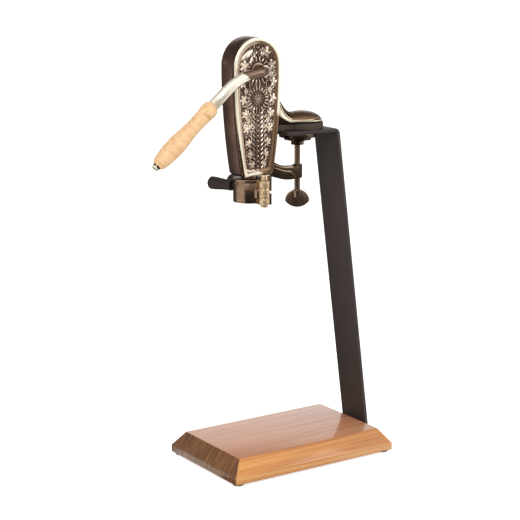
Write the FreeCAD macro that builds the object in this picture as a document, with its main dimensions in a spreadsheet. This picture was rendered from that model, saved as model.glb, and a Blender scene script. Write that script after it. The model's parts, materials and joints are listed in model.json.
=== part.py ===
import FreeCAD, Part
import math
import os
import Sketcher

# Counter mount corkscrew on its stand, in millimetres.
# The model is drawn about the middle of the base: +X towards the upright bar,
# +Y towards the squeeze levers, +Z up from the table.
# frame_shift then moves every piece along X, so that the frame's origin lies
# under the middle of the whole object.

# Driving sizes and places.
SIZES = {
    "frame_shift": 44.8,
    "overrun": 3.0,
    # fits: running pieces, pieces that seat in one another, and faces that just clear
    "running_gap": 0.05,
    "seat_gap": 0.03,
    "free_gap": 0.4,
    # wooden base and its feet
    "board_length": 270.0,
    "board_width": 172.0,
    "board_thickness": 31.0,
    "board_band": 10.0,
    "board_bevel_run": 15.6,
    "board_notch_gap": 0.3,
    "foot_height": 3.0,
    "foot_radius": 8.0,
    "foot_inset": 10.0,
    "foot_chamfer": 0.6,
    # flat steel bar
    "bar_width": 56.0,
    "bar_thickness": 5.0,
    "bar_foot_x": 133.8,
    "bar_lean": 7.46,
    "bar_flange": 46.0,
    "bar_bend_radius": 9.0,
    "shelf_top_z": 471.0,
    "shelf_end_x": -10.0,
    "board_screw_radius": 2.5,
    "board_screw_length": 20.0,
    "board_screw_head_radius": 5.0,
    "board_screw_inset": 28.0,
    "board_screw_spread": 17.0,
    # teardrop casting
    "housing_x": -53.0,
    "housing_crown_z": 564.0,
    "housing_half_width": 38.0,
    "housing_mid_half_width": 34.9,
    "housing_foot_half_width": 25.5,
    "housing_foot_z": 417.0,
    "housing_base_z": 413.0,
    "housing_base_half_width": 21.5,
    "housing_base_rise": 1.2,
    "housing_depth": 36.0,
    "housing_split": 6.0,
    "housing_wall": 3.4,
    "housing_face_wall": 3.0,
    "rim_width": 4.6,
    "rim_height": 1.8,
    "rim_round": 1.5,
    "back_round": 2.6,
    "screw_column_radius": 3.6,
    "case_screw_radius": 1.5,
    "case_screw_head_radius": 3.3,
    "case_screw_head_height": 2.0,
    "upper_column_x": 21.0,
    "upper_column_z": 583.0,
    "left_column_x": -26.0,
    "left_column_z": 474.0,
    "right_column_x": 22.8,
    "right_column_z": 446.0,
    # crank shaft, its bushes and the crank
    "crank_z": 558.0,
    "shaft_radius": 5.0,
    "shaft_end_y": 19.0,
    "front_bush_radius": 8.0,
    "front_bush_collar_radius": 10.5,
    "front_bush_collar": 2.4,
    "front_bush_inner_y": -14.5,
    "rear_bush_radius": 6.5,
    "rear_boss_radius": 9.0,
    "rear_boss_y": 13.4,
    "crank_nut_radius": 8.0,
    "crank_nut_height": 5.0,
    "crank_dome_height": 4.0,
    "rod_radius": 6.2,
    "rod_standoff": 36.0,
    "elbow_radius": 10.0,
    "crank_hub_radius": 7.9,
    "crank_hub_edge": 1.0,
    "rod_first_fall": 7.0,
    "rod_last_fall": 40.0,
    "rod_first_run": 16.0,
    "rod_bend_radius": 87.0,
    "rod_bare_run": 32.6,
    "tang_radius": 4.0,
    "grip_length": 110.0,
    "grip_mouth_radius": 11.3,
    "grip_waist_radius": 9.9,
    "grip_belly_radius": 12.6,
    "grip_end_radius": 8.5,
    "grip_nut_radius": 5.5,
    "grip_nut_height": 4.0,
    # gear train between the crank and the rack
    "gear_module": 1.5,
    "gear_backlash": 0.16,
    "pressure_angle": 20.0,
    "crank_teeth": 30,
    "pinion_teeth": 22,
    "front_gear_near_y": -14.0,
    "front_gear_width": 7.0,
    "rack_near_y": 5.0,
    "rack_width": 8.0,
    "pinion_offset_x": 8.0,
    "axle_radius": 3.0,
    "pinion_hub_radius": 4.4,
    "crank_up_angle": 142.0,
    "crank_down_angle": 15.0,
    "rack_spare": 30.1,
    "rack_back_x": -68.0,
    # carriage, its rods and the worm
    "worm_x": -56.0,
    "carriage_low_z": 424.0,
    "carriage_height": 12.0,
    "carriage_left_length": 18.0,
    "carriage_right_length": 21.6,
    "carriage_depth": 22.0,
    "left_rod_offset": 13.0,
    "right_rod_offset": 18.0,
    "guide_rod_radius": 2.0,
    "guide_rod_foot_z": 418.0,
    "bridge_z": 541.0,
    "bridge_height": 6.0,
    "bridge_depth": 7.0,
    "bridge_wall_gap": 0.3,
    "worm_wire_radius": 1.5,
    "worm_mean_radius": 2.9,
    "worm_pitch": 9.7,
    "worm_turns": 7,
    "worm_shank_radius": 4.0,
    "worm_shoulder_radius": 4.5,
    "worm_shoulder": 3.4,
    "worm_head_radius": 6.0,
    "worm_head_height": 2.5,
    "worm_end_gap": 0.1,
    "worm_point": 5.0,
    # nut at the mouth of the casting
    "nut_flange_top_z": 423.0,
    "nut_half_length": 22.0,
    "nut_depth": 22.0,
    "nut_neck_radius": 11.0,
    "nut_bore_radius": 4.8,
    "guide_pin_radius": 1.0,
    "guide_pin_reach": 2.4,
    "guide_pin_z": 418.9,
    "guide_pin_inset": 2.5,
    # bottle collar
    "collar_top_z": 409.0,
    "collar_plate": 4.0,
    "collar_low_z": 376.5,
    "collar_radius": 22.5,
    "collar_bore_radius": 16.0,
    "liner_bore_radius": 14.0,
    "mouth_hole_radius": 8.0,
    "jaw_gap": 0.4,
    "hinge_x": -50.0,
    "hinge_y": -28.0,
    "hinge_barrel_radius": 7.5,
    "hinge_top_z": 408.0,
    "hinge_low_z": 375.0,
    "knuckle_height": 9.5,
    "hinge_pin_radius": 3.0,
    "hinge_head_radius": 5.0,
    "hinge_head_height": 3.5,
    "hinge_finial_radius": 4.4,
    "hinge_finial_height": 8.5,
    "hinge_web": 12.0,
    "rear_lug_x": -25.0,
    "rear_lug_half_width": 9.5,
    "rear_lug_low_z": 369.5,
    "rear_lug_notch_z": 385.0,
    "rear_lug_notch_height": 4.0,
    "rear_lug_notch_depth": 3.5,
    # squeeze levers
    "lever_z": 395.0,
    "lever_rod_radius": 4.0,
    "lever_root_radius": 19.0,
    "front_lever_angle": 108.0,
    "rear_lever_angle": 77.0,
    "lever_bare": 8.0,
    "lever_grip_length": 40.0,
    "lever_grip_radius": 9.0,
    "lever_grip_waist_radius": 7.6,
    "lever_grip_end": 3.0,
    # clamp on the shelf
    "saddle_x": 34.5,
    "saddle_radius": 26.0,
    "saddle_low_z": 480.4,
    "saddle_rim": 4.6,
    "saddle_crown_z": 493.0,
    "saddle_flat_radius": 2.0,
    "saddle_arm_top_z": 509.0,
    "saddle_arm_top_x": -13.0,
    "saddle_sweep_x": 9.0,
    "saddle_arm_half_width": 14.0,
    "pad_radius": 28.0,
    "pad_chamfer": 1.0,
    "screw_x": 24.8,
    "boss_radius": 7.0,
    "boss_low_z": 401.5,
    "boss_height": 19.5,
    "boss_edge": 1.2,
    "arm_half_width": 7.0,
    "arm_root_low_z": 416.0,
    "arm_root_top_z": 434.5,
    "arm_sag_x": -9.0,
    "arm_sag_low_z": 403.8,
    "arm_sag_top_z": 423.4,
    "arm_end_low_z": 403.0,
    "arm_end_top_z": 420.0,
    "clamp_bolt_radius": 2.5,
    "clamp_bolt_head_radius": 4.0,
    "clamp_bolt_head_height": 2.6,
    "clamp_bolt_length": 11.0,
    "saddle_bolt_z": 494.0,
    "saddle_bolt_spread": 7.0,
    "arm_bolt_z": 424.0,
    "clamp_screw_radius": 4.0,
    "clamp_screw_low_z": 372.0,
    "cup_gap": 0.1,
    "cup_radius": 26.0,
    "cup_rim": 6.0,
    "cup_step_radius": 19.0,
    "cup_step": 4.0,
    "cup_hub_radius": 9.0,
    "cup_hub": 7.0,
    "cup_socket": 9.0,
    "retainer_radius": 1.5,
    "retainer_head_radius": 2.6,
    "knob_half_width": 17.0,
    "knob_low_z": 360.2,
    "knob_top_z": 383.3,
    "knob_neck_half_width": 7.0,
    "knob_wing_z": 374.0,
    "knob_wing_low_z": 369.0,
    "knob_flank_x": 14.0,
    "knob_flank_z": 377.5,
    "knob_turn": -37.0,
    "knob_thickness": 8.0,
    "knob_hub_radius": 6.5,
}

doc = FreeCAD.newDocument("counter_mount_corkscrew")
sheet = doc.addObject("Spreadsheet::Sheet", "sizes")
for row, (alias, number) in enumerate(SIZES.items(), 1):
    sheet.set(f"A{row}", alias)
    sheet.set(f"B{row}", str(number))
    sheet.setAlias(f"B{row}", alias)
doc.recompute()


class Size:
    """A size with its number and the expression that gives the same number in the sheet."""

    def __init__(self, number, words):
        self.number = number
        self.words = words

    def join(self, other, sign, number):
        return Size(number, f"({self.words} {sign} {as_size(other).words})")

    def __add__(self, other):
        return self.join(other, "+", self.number + as_size(other).number)

    def __sub__(self, other):
        return self.join(other, "-", self.number - as_size(other).number)

    def __mul__(self, other):
        return self.join(other, "*", self.number * as_size(other).number)

    def __truediv__(self, other):
        return self.join(other, "/", self.number / as_size(other).number)

    def __neg__(self):
        return Size(-self.number, f"(0 - {self.words})")

    def __float__(self):
        return float(self.number)


def as_size(value):
    return value if isinstance(value, Size) else Size(float(value), repr(float(value)))


class Driving:
    """Reads a driving size from the sheet by its name."""

    def __getattr__(self, alias):
        return Size(float(sheet.get(alias)), f"sizes.{alias}")


d = Driving()
ZERO = as_size(0)
FULL_TURN = as_size(360)
VECTOR = FreeCAD.Vector


def square_root(size):
    return Size(math.sqrt(size.number), f"sqrt({size.words})")


def cosine(angle):
    return Size(math.cos(math.radians(angle.number)), f"cos({angle.words})")


def sine(angle):
    return Size(math.sin(math.radians(angle.number)), f"sin({angle.words})")


def bind(thing, name, size):
    """Sets a property through an expression of the sheet."""
    thing.setExpression(name, as_size(size).words)


def midpoint(a, b):
    return (a + b) / 2


# Solids of one primitive or boolean.
def named(kind, label):
    thing = doc.addObject(kind, label)
    thing.Label = label
    return thing


def put(thing, x=ZERO, y=ZERO, z=ZERO):
    for axis, size in (("x", x), ("y", y), ("z", z)):
        bind(thing, f"Placement.Base.{axis}", size)
    return thing


TURNS = {
    "Z": FreeCAD.Rotation(),
    "Y": FreeCAD.Rotation(VECTOR(1, 0, 0), -90),
    "X": FreeCAD.Rotation(VECTOR(0, 1, 0), 90),
}


def box(label, x, y, z):
    """A box from three pairs of lowest and highest coordinates."""
    thing = named("Part::Box", label)
    for side, (low, high) in zip(("Length", "Width", "Height"), (x, y, z)):
        bind(thing, side, high - low)
    return put(thing, x[0], y[0], z[0])


def rod(label, radius, axis, low, high, across):
    """A cylinder along X, Y or Z from low to high, its other two coordinates in across."""
    thing = named("Part::Cylinder", label)
    bind(thing, "Radius", radius)
    bind(thing, "Height", high - low)
    thing.Placement = FreeCAD.Placement(VECTOR(), TURNS[axis])
    first, second = across
    places = {"X": (low, first, second), "Y": (first, low, second), "Z": (first, second, low)}
    return put(thing, *places[axis])


def cone(label, radius_low, radius_high, axis, low, high, across):
    thing = named("Part::Cone", label)
    bind(thing, "Radius1", radius_low)
    bind(thing, "Radius2", radius_high)
    bind(thing, "Height", high - low)
    thing.Placement = FreeCAD.Placement(VECTOR(), TURNS[axis])
    first, second = across
    places = {"X": (low, first, second), "Y": (first, low, second), "Z": (first, second, low)}
    return put(thing, *places[axis])


def hexagon(label, radius, axis, low, high, across):
    """A six-sided prism along X, Y or Z."""
    thing = named("Part::Prism", label)
    thing.Polygon = 6
    bind(thing, "Circumradius", radius)
    bind(thing, "Height", high - low)
    thing.Placement = FreeCAD.Placement(VECTOR(), TURNS[axis])
    first, second = across
    places = {"X": (low, first, second), "Y": (first, low, second), "Z": (first, second, low)}
    return put(thing, *places[axis])


def fuse(label, *solids):
    thing = named("Part::MultiFuse", label)
    thing.Shapes = list(solids)
    thing.Refine = True
    return thing


def common(label, *solids):
    thing = named("Part::MultiCommon", label)
    thing.Shapes = list(solids)
    return thing


def cut(label, base, *tools):
    """The base less one tool, or less the group of several."""
    tool = tools[0] if len(tools) == 1 else group(f"{label}_tools", *tools)
    thing = named("Part::Cut", label)
    thing.Base = base
    thing.Tool = tool
    return thing


def group(label, *solids):
    """Several like solids kept as one node."""
    thing = named("Part::Compound", label)
    thing.Links = list(solids)
    return thing


def dome_point(radius, rim, crown, across):
    """A point of a dome centred on its axis, at a distance from the axis."""
    rise = crown - rim
    sphere = (radius * radius + rise * rise) / (rise * 2)
    return across, crown - sphere + square_root(sphere * sphere - across * across)


# Bodies drawn by sketches. A path is a list of corners (u, v) and of arcs
# ("arc", middle u, middle v, end u, end v), each u and v a Size.
PLANES = {"XY": "XY_Plane", "XZ": "XZ_Plane", "YZ": "YZ_Plane"}


def pin_point(sketch, u, v):
    """A construction point held at u, v by expressions."""
    u, v = as_size(u), as_size(v)
    index = sketch.addGeometry(Part.Point(VECTOR(u.number, v.number, 0)), True)
    for kind, size in (("DistanceX", u), ("DistanceY", v)):
        rule = sketch.addConstraint(Sketcher.Constraint(kind, -1, 1, index, 1, size.number))
        sketch.setExpression(f"Constraints[{rule}]", size.words)
    return index


def draw(sketch, path):
    """Draws a closed path whose every corner and arc middle is held by the sheet."""
    ends = [(step[-2], step[-1]) for step in path]
    corners = [pin_point(sketch, *end) for end in ends]
    for place, step in enumerate(path):
        start, end = ends[place - 1], ends[place]
        near = VECTOR(float(start[0]), float(start[1]), 0)
        far = VECTOR(float(end[0]), float(end[1]), 0)
        first, last = 1, 2
        if step[0] == "arc":
            middle = VECTOR(float(step[1]), float(step[2]), 0)
            edge = sketch.addGeometry(Part.Arc(near, middle, far), False)
            if (sketch.getPoint(edge, 1) - near).Length > (sketch.getPoint(edge, 2) - near).Length:
                first, last = 2, 1
            on_arc = pin_point(sketch, step[1], step[2])
            sketch.addConstraint(Sketcher.Constraint("PointOnObject", on_arc, 1, edge))
        else:
            edge = sketch.addGeometry(Part.LineSegment(near, far), False)
        sketch.addConstraint(Sketcher.Constraint("Coincident", edge, first, corners[place - 1], 1))
        sketch.addConstraint(Sketcher.Constraint("Coincident", edge, last, corners[place], 1))


def body(label):
    return named("PartDesign::Body", label)


def sketch_on(host, plane, along, path):
    """A sketch on one of the body's own planes, moved along the plane's normal."""
    sketch = host.newObject("Sketcher::SketchObject", f"{host.Label}_sketch")
    support = [f for f in host.Origin.OriginFeatures if f.Role == PLANES[plane]][0]
    sketch.AttachmentSupport = [(support, "")]
    sketch.MapMode = "FlatFace"
    bind(sketch, "AttachmentOffset.Base.z", along)
    draw(sketch, path)
    return sketch


def pad(host, plane, path, low, high):
    """Pads a path between two coordinates along the plane's normal axis."""
    along = -high if plane == "XZ" else low
    feature_sketch = sketch_on(host, plane, along, path)
    feature = host.newObject("PartDesign::Pad", f"{host.Label}_pad")
    feature.Profile = feature_sketch
    bind(feature, "Length", high - low)
    doc.recompute()
    return host


def pocket(host, plane, path, low, high):
    """Cuts a path between two coordinates along the plane's normal axis."""
    along = -low if plane == "XZ" else high
    feature_sketch = sketch_on(host, plane, along, path)
    volume = host.Shape.Volume
    feature = host.newObject("PartDesign::Pocket", f"{host.Label}_pocket")
    feature.Profile = feature_sketch
    bind(feature, "Length", high - low)
    doc.recompute()
    if host.Shape.Volume >= volume:
        raise ValueError(f"{feature.Label} cuts nothing")
    return host


def lathe(label, path, x, y, z=ZERO, axis="V_Axis"):
    """A body turned from a half profile in the XZ plane, about its own Z axis, then placed."""
    host = body(label)
    feature_sketch = sketch_on(host, "XZ", ZERO, path)
    feature = host.newObject("PartDesign::Revolution", f"{label}_turned")
    feature.Profile = feature_sketch
    feature.ReferenceAxis = (feature_sketch, [axis])
    bind(feature, "Angle", FULL_TURN)
    doc.recompute()
    return put(host, x, y, z)


def plate(label, plane, path, low, high):
    return pad(body(label), plane, path, low, high)


def rectangle(u, v):
    return [(u[0], v[0]), (u[1], v[0]), (u[1], v[1]), (u[0], v[1])]


def solid_of(label, shape):
    """A feature whose shape is worked out here from the sheet."""
    thing = named("Part::Feature", label)
    thing.Shape = shape
    return thing


PIECES = []


def keep(thing, label):
    """Marks a finished sub-part and gives it its own name."""
    thing.Label = label
    PIECES.append(thing)
    return thing


# Places that several pieces share.
board_low = d.foot_height
board_top = board_low + d.board_thickness
shelf_low = d.shelf_top_z - d.bar_thickness
lean_slope = sine(d.bar_lean) / cosine(d.bar_lean)
bar_across = d.bar_thickness / cosine(d.bar_lean)
half_depth = d.housing_depth / 2
split_y = -half_depth + d.housing_split
field_y = -half_depth + d.rim_height
front_inner_y = -half_depth + d.housing_face_wall
back_inner_y = half_depth - d.housing_face_wall
pitch_radius = d.gear_module * d.pinion_teeth / 2
crank_pitch_radius = d.gear_module * d.crank_teeth / 2
centre_distance = pitch_radius + crank_pitch_radius
pinion_x = d.housing_x + d.pinion_offset_x
pinion_z = d.crank_z - square_root(centre_distance * centre_distance - d.pinion_offset_x * d.pinion_offset_x)
slide_per_degree = crank_pitch_radius * math.pi / FULL_TURN * 2
rack_length = slide_per_degree * (d.crank_up_angle + d.crank_down_angle) + d.rack_spare
carriage_low = d.carriage_low_z + slide_per_degree * d.crank_up_angle
carriage_top = carriage_low + d.carriage_height
plate_low = d.collar_top_z - d.collar_plate


def bar_inner_x(z):
    """The near face of the leaning bar at a height."""
    return d.bar_foot_x - z * lean_slope


# Wooden base: a straight band below and a bevel on all four sides above it.
def make_base():
    half_x = d.board_length / 2
    half_y = d.board_width / 2
    band_top = board_low + d.board_band
    band = box("board_band_block", (-half_x, half_x), (-half_y, half_y), (board_low, band_top))
    bevel = named("Part::Wedge", "board_bevel")
    # The wedge's own Y axis is turned up to Z.
    for name, size in (
        ("Xmin", -half_x),
        ("Xmax", half_x),
        ("Zmin", -half_y),
        ("Zmax", half_y),
        ("X2min", -half_x + d.board_bevel_run),
        ("X2max", half_x - d.board_bevel_run),
        ("Z2min", -half_y + d.board_bevel_run),
        ("Z2max", half_y - d.board_bevel_run),
        ("Ymin", ZERO),
        ("Ymax", board_top - band_top),
    ):
        bind(bevel, name, size)
    bevel.Placement = FreeCAD.Placement(VECTOR(), FreeCAD.Rotation(VECTOR(1, 0, 0), 90))
    put(bevel, z=band_top)
    block = fuse("board_block", band, bevel)
    slot_half = d.bar_width / 2 + d.board_notch_gap
    notch = plate(
        "board_notch",
        "XZ",
        [
            (bar_inner_x(ZERO) - d.board_notch_gap, ZERO),
            (half_x + d.board_bevel_run, ZERO),
            (half_x + d.board_bevel_run, board_top + d.overrun),
            (bar_inner_x(board_top + d.overrun) - d.board_notch_gap, board_top + d.overrun),
        ],
        -slot_half,
        slot_half,
    )
    flange_end = bar_inner_x(board_low) - d.bar_flange - d.board_notch_gap
    recess = box(
        "board_recess",
        (flange_end, half_x),
        (-slot_half, slot_half),
        (ZERO, board_low + d.bar_thickness + d.seat_gap),
    )
    pilots = [
        rod(
            f"board_pilot_{side}",
            d.board_screw_radius + d.seat_gap,
            "Z",
            board_low,
            board_low + d.board_screw_length + d.seat_gap,
            (bar_inner_x(board_low) - d.board_screw_inset, y),
        )
        for side, y in enumerate((-d.board_screw_spread, d.board_screw_spread))
    ]
    keep(cut("base_board_cut", block, notch, recess, *pilots), "base_board")

    feet = []
    for place, (x_side, y_side) in enumerate(((-1, -1), (-1, 1), (1, -1), (1, 1))):
        foot = cone(
            f"foot_{place}",
            d.foot_radius - d.foot_chamfer,
            d.foot_radius,
            "Z",
            ZERO,
            d.foot_height,
            ((half_x - d.foot_inset) * x_side, (half_y - d.foot_inset) * y_side),
        )
        feet.append(foot)
    keep(group("rubber_feet_set", *feet), "rubber_feet")


# Flat steel bar: foot flange, leaning upright and level shelf in one strip.
def make_upright():
    flange_x = bar_inner_x(board_low) - d.bar_flange
    flange_top = board_low + d.bar_thickness
    strip = plate(
        "upright_strip",
        "XZ",
        [
            (d.shelf_end_x, d.shelf_top_z),
            (bar_inner_x(d.shelf_top_z) + bar_across, d.shelf_top_z),
            (bar_inner_x(board_low) + bar_across, board_low),
            (flange_x, board_low),
            (flange_x, flange_top),
            (bar_inner_x(flange_top), flange_top),
            (bar_inner_x(shelf_low), shelf_low),
            (d.shelf_end_x, shelf_low),
        ],
        -d.bar_width / 2,
        d.bar_width / 2,
    )
    outer_x = float(bar_inner_x(d.shelf_top_z) + bar_across)
    inner_x = float(bar_inner_x(shelf_low))
    corners = ((outer_x, float(d.shelf_top_z)), (inner_x, float(shelf_low)))
    radii = (d.bar_bend_radius, d.bar_bend_radius - d.bar_thickness)
    for (x, z), radius in zip(corners, radii):
        round_edges(strip, lambda edge, x=x, z=z: runs_along_y(edge, x, z), radius)
    screw_x = bar_inner_x(board_low) - d.board_screw_inset
    sides = (-d.board_screw_spread, d.board_screw_spread)
    head_height = d.board_screw_head_radius - d.board_screw_radius
    holes = []
    screws = []
    for place, y in enumerate(sides):
        across = (screw_x, y)
        wide = d.board_screw_head_radius + d.seat_gap
        narrow = d.board_screw_radius + d.seat_gap
        holes.append(cone(f"sink_{place}", wide, narrow, "Z", board_low, board_low + head_height, across))
        holes.append(rod(f"hole_{place}", narrow, "Z", board_low, flange_top + d.overrun, across))
        head = cone(
            f"screw_head_{place}",
            d.board_screw_head_radius,
            d.board_screw_radius,
            "Z",
            board_low,
            board_low + head_height,
            across,
        )
        shank_top = board_low + d.board_screw_length
        shank = rod(f"screw_shank_{place}", d.board_screw_radius, "Z", board_low, shank_top, across)
        screws.append(fuse(f"board_screw_{place}", head, shank))
    keep(cut("upright_cut", strip, *holes), "upright_bar")
    keep(group("upright_screw_pair", *screws), "upright_screws")


def runs_along_y(edge, x, z):
    """Whether a straight edge runs along Y at x, z."""
    centre = edge.CenterOfMass
    ends = edge.Vertexes
    level = abs(ends[0].X - ends[-1].X) < 1e-6 and abs(ends[0].Z - ends[-1].Z) < 1e-6
    return level and abs(centre.x - x) < 1e-4 and abs(centre.z - z) < 1e-4


def round_edges(host, test, radius, kind="PartDesign::Fillet"):
    """Rounds or chamfers the edges of a body that pass a test."""
    doc.recompute()
    base = host.Tip
    names = [f"Edge{place}" for place, edge in enumerate(base.Shape.Edges, 1) if test(edge)]
    feature = host.newObject(kind, f"{host.Label}_edges")
    feature.Base = (base, names)
    bind(feature, "Radius" if kind.endswith("Fillet") else "Size", radius)
    doc.recompute()


# Teardrop casting in two shells.
def teardrop(inset):
    """The casting's outline: a half circle, two long bowed sides and a slightly arched foot."""
    x = d.housing_x
    crown = d.housing_half_width - inset
    middle = d.housing_mid_half_width - inset
    foot = d.housing_foot_half_width - inset
    base = d.housing_base_half_width - inset
    foot_z = d.housing_foot_z + inset
    base_z = d.housing_base_z + inset
    middle_z = midpoint(d.housing_crown_z, d.housing_foot_z)
    return [
        ("arc", x, d.housing_crown_z + crown, x + crown, d.housing_crown_z),
        ("arc", x + middle, middle_z, x + foot, foot_z),
        (x + base, base_z),
        ("arc", x, base_z + d.housing_base_rise, x - base, base_z),
        (x - foot, foot_z),
        ("arc", x - middle, middle_z, x - crown, d.housing_crown_z),
    ]


def case_screw_places():
    """The casting's four screws, as offsets from its middle line and heights."""
    return (
        (-d.upper_column_x, d.upper_column_z),
        (d.upper_column_x, d.upper_column_z),
        (d.left_column_x, d.left_column_z),
        (d.right_column_x, d.right_column_z),
    )


def make_housing():
    front = plate("front_shell", "XZ", teardrop(ZERO), -half_depth, split_y)
    round_edges(front, lambda edge: abs(edge.BoundBox.YMax + float(half_depth)) < 1e-6, d.rim_round)
    pocket(front, "XZ", teardrop(d.rim_width), -half_depth, field_y)
    inner = plate("front_cavity", "XZ", teardrop(d.housing_wall), front_inner_y, split_y + d.overrun)
    bearing = rod(
        "front_bearing_hole",
        d.front_bush_radius + d.seat_gap,
        "Y",
        -half_depth - d.overrun,
        split_y,
        (d.housing_x, d.crank_z),
    )
    axle_seat = rod(
        "front_axle_boss",
        d.axle_radius * 2,
        "Y",
        field_y,
        d.front_gear_near_y - d.free_gap,
        (pinion_x, pinion_z),
    )
    axle_hole = rod(
        "front_axle_hole",
        d.axle_radius + d.seat_gap,
        "Y",
        front_inner_y,
        split_y,
        (pinion_x, pinion_z),
    )
    hollow = cut("front_hollow", front, inner)
    screw_hole_depth = front_inner_y + d.seat_gap
    columns = []
    bores = []
    rear_bores = []
    screws = []
    back_columns = []
    for place, (x_offset, z) in enumerate(case_screw_places()):
        across = (d.housing_x + x_offset, z)
        across_x = (across[0] - d.screw_column_radius, across[0] + d.screw_column_radius)
        across_z = (z - d.screw_column_radius, z + d.screw_column_radius)
        columns.append(box(f"front_column_{place}", across_x, (field_y, split_y), across_z))
        back_columns.append(box(f"back_column_{place}", across_x, (split_y, half_depth - d.seat_gap), across_z))
        bore = d.case_screw_radius + d.seat_gap
        bores.append(rod(f"front_bore_{place}", bore, "Y", screw_hole_depth, split_y + d.overrun, across))
        rear_bores.append(rod(f"back_bore_{place}", bore, "Y", split_y - d.overrun, half_depth + d.overrun, across))
        head = hexagon(
            f"case_head_{place}",
            d.case_screw_head_radius,
            "Y",
            half_depth,
            half_depth + d.case_screw_head_height,
            across,
        )
        shank = rod(f"case_shank_{place}", d.case_screw_radius, "Y", screw_hole_depth, half_depth, across)
        screws.append(fuse(f"case_screw_{place}", head, shank))
    ribbed = fuse("front_ribbed", hollow, axle_seat, *columns)
    keep(cut("front_cut", ribbed, bearing, axle_hole, *bores), "housing_front")
    keep(group("case_screw_set", *screws), "housing_screws")

    outer = plate("back_shell", "XZ", teardrop(ZERO), split_y, half_depth)
    round_edges(
        outer,
        lambda edge: abs(edge.BoundBox.YMin - float(half_depth)) < 1e-6,
        d.back_round,
        "PartDesign::Chamfer",
    )
    pocket(outer, "XZ", teardrop(d.housing_wall), split_y, back_inner_y)
    rear_boss = rod(
        "rear_boss",
        d.rear_boss_radius,
        "Y",
        d.rear_boss_y,
        half_depth - d.seat_gap,
        (d.housing_x, d.crank_z),
    )
    rack_rail = box(
        "rack_rail",
        (d.rack_back_x - d.housing_wall, d.rack_back_x - d.running_gap),
        (d.rack_near_y, half_depth - d.seat_gap),
        (pinion_z - pitch_radius, pinion_z + pitch_radius),
    )
    rear_axle_boss = rod(
        "rear_axle_boss",
        d.axle_radius * 2,
        "Y",
        d.rack_near_y + d.rack_width + d.free_gap,
        half_depth - d.seat_gap,
        (pinion_x, pinion_z),
    )
    filled = fuse("back_filled", outer, rear_boss, rack_rail, rear_axle_boss, *back_columns)
    shaft_hole = rod(
        "rear_bearing_hole",
        d.rear_bush_radius + d.seat_gap,
        "Y",
        d.rear_boss_y - d.overrun,
        half_depth + d.overrun,
        (d.housing_x, d.crank_z),
    )
    axle_bore = rod(
        "rear_axle_hole",
        d.axle_radius + d.seat_gap,
        "Y",
        split_y,
        back_inner_y,
        (pinion_x, pinion_z),
    )
    mouth = rod(
        "mouth_hole",
        d.nut_neck_radius + d.seat_gap,
        "Z",
        d.housing_base_z - d.overrun,
        d.nut_flange_top_z,
        (d.worm_x, ZERO),
    )
    bolt_holes = [
        rod(f"bolt_hole_{place}", d.clamp_bolt_radius + d.seat_gap, "X", d.housing_x, ZERO, (y, z))
        for place, (y, z) in enumerate(clamp_bolt_places())
    ]
    spot_faces = [
        rod(
            f"spot_face_{place}",
            d.clamp_bolt_head_radius + d.seat_gap,
            "X",
            d.housing_x,
            casting_inner_x(z),
            (y, z),
        )
        for place, (y, z) in enumerate(clamp_bolt_places())
    ]
    keep(
        cut("back_cut", filled, shaft_hole, axle_bore, mouth, *rear_bores, *bolt_holes, *spot_faces),
        "housing_back",
    )


def clamp_bolt_places():
    """The bolts of the clamp's two castings, across and up."""
    return (
        (-d.saddle_bolt_spread, d.saddle_bolt_z),
        (d.saddle_bolt_spread, d.saddle_bolt_z),
        (ZERO, d.arm_bolt_z),
    )


# Crank shaft and its bearings.
def make_shaft():
    across = (d.housing_x, d.crank_z)
    front_low = field_y - d.front_bush_collar
    barrel = rod("front_bush_barrel", d.front_bush_radius, "Y", front_low, d.front_bush_inner_y, across)
    collar = rod("front_bush_collar", d.front_bush_collar_radius, "Y", front_low, field_y, across)
    rear = rod("rear_bush_barrel", d.rear_bush_radius, "Y", d.rear_boss_y, half_depth, across)
    bore = rod(
        "bush_bore",
        d.shaft_radius + d.running_gap,
        "Y",
        -half_depth - d.overrun * 2,
        half_depth + d.overrun,
        across,
    )
    bushes = group("bush_pair", fuse("front_bush", barrel, collar), rear)
    keep(cut("bushes_cut", bushes, bore), "crank_bushes")

    shaft_start = front_low - d.free_gap
    keep(rod("shaft", d.shaft_radius, "Y", shaft_start, d.shaft_end_y, across), "crank_shaft")
    nut_low = d.shaft_end_y
    keep(
        fuse(
            "nut_with_dome",
            hexagon("nut_hexagon", d.crank_nut_radius, "Y", nut_low, nut_low + d.crank_nut_height, across),
            cone(
                "nut_dome",
                d.crank_nut_radius * NUT_DOME_SHARE,
                d.crank_nut_radius * NUT_TIP_SHARE,
                "Y",
                nut_low + d.crank_nut_height,
                nut_low + d.crank_nut_height + d.crank_dome_height,
                across,
            ),
        ),
        "crank_nut",
    )


NUT_DOME_SHARE = 0.8
NUT_TIP_SHARE = 0.45


# Crank: a round rod with an elbow at the shaft and one long bend, and its grip.
def fall_direction(degrees):
    turn = math.radians(float(degrees))
    return VECTOR(-math.cos(turn), 0, -math.sin(turn))


def arc_edge(start, tangent, end):
    """The arc that leaves start along tangent and reaches end."""
    chord = end - start
    along = tangent.normalize().dot(chord.normalize())
    half_turn = math.acos(min(1.0, along))
    length = (end - start).Length
    side = (tangent - chord * along).normalize()
    middle = (start + end) * 0.5 + side * (length / 2 * math.tan(half_turn / 2))
    return Part.Arc(start, middle, end).toShape()


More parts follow.
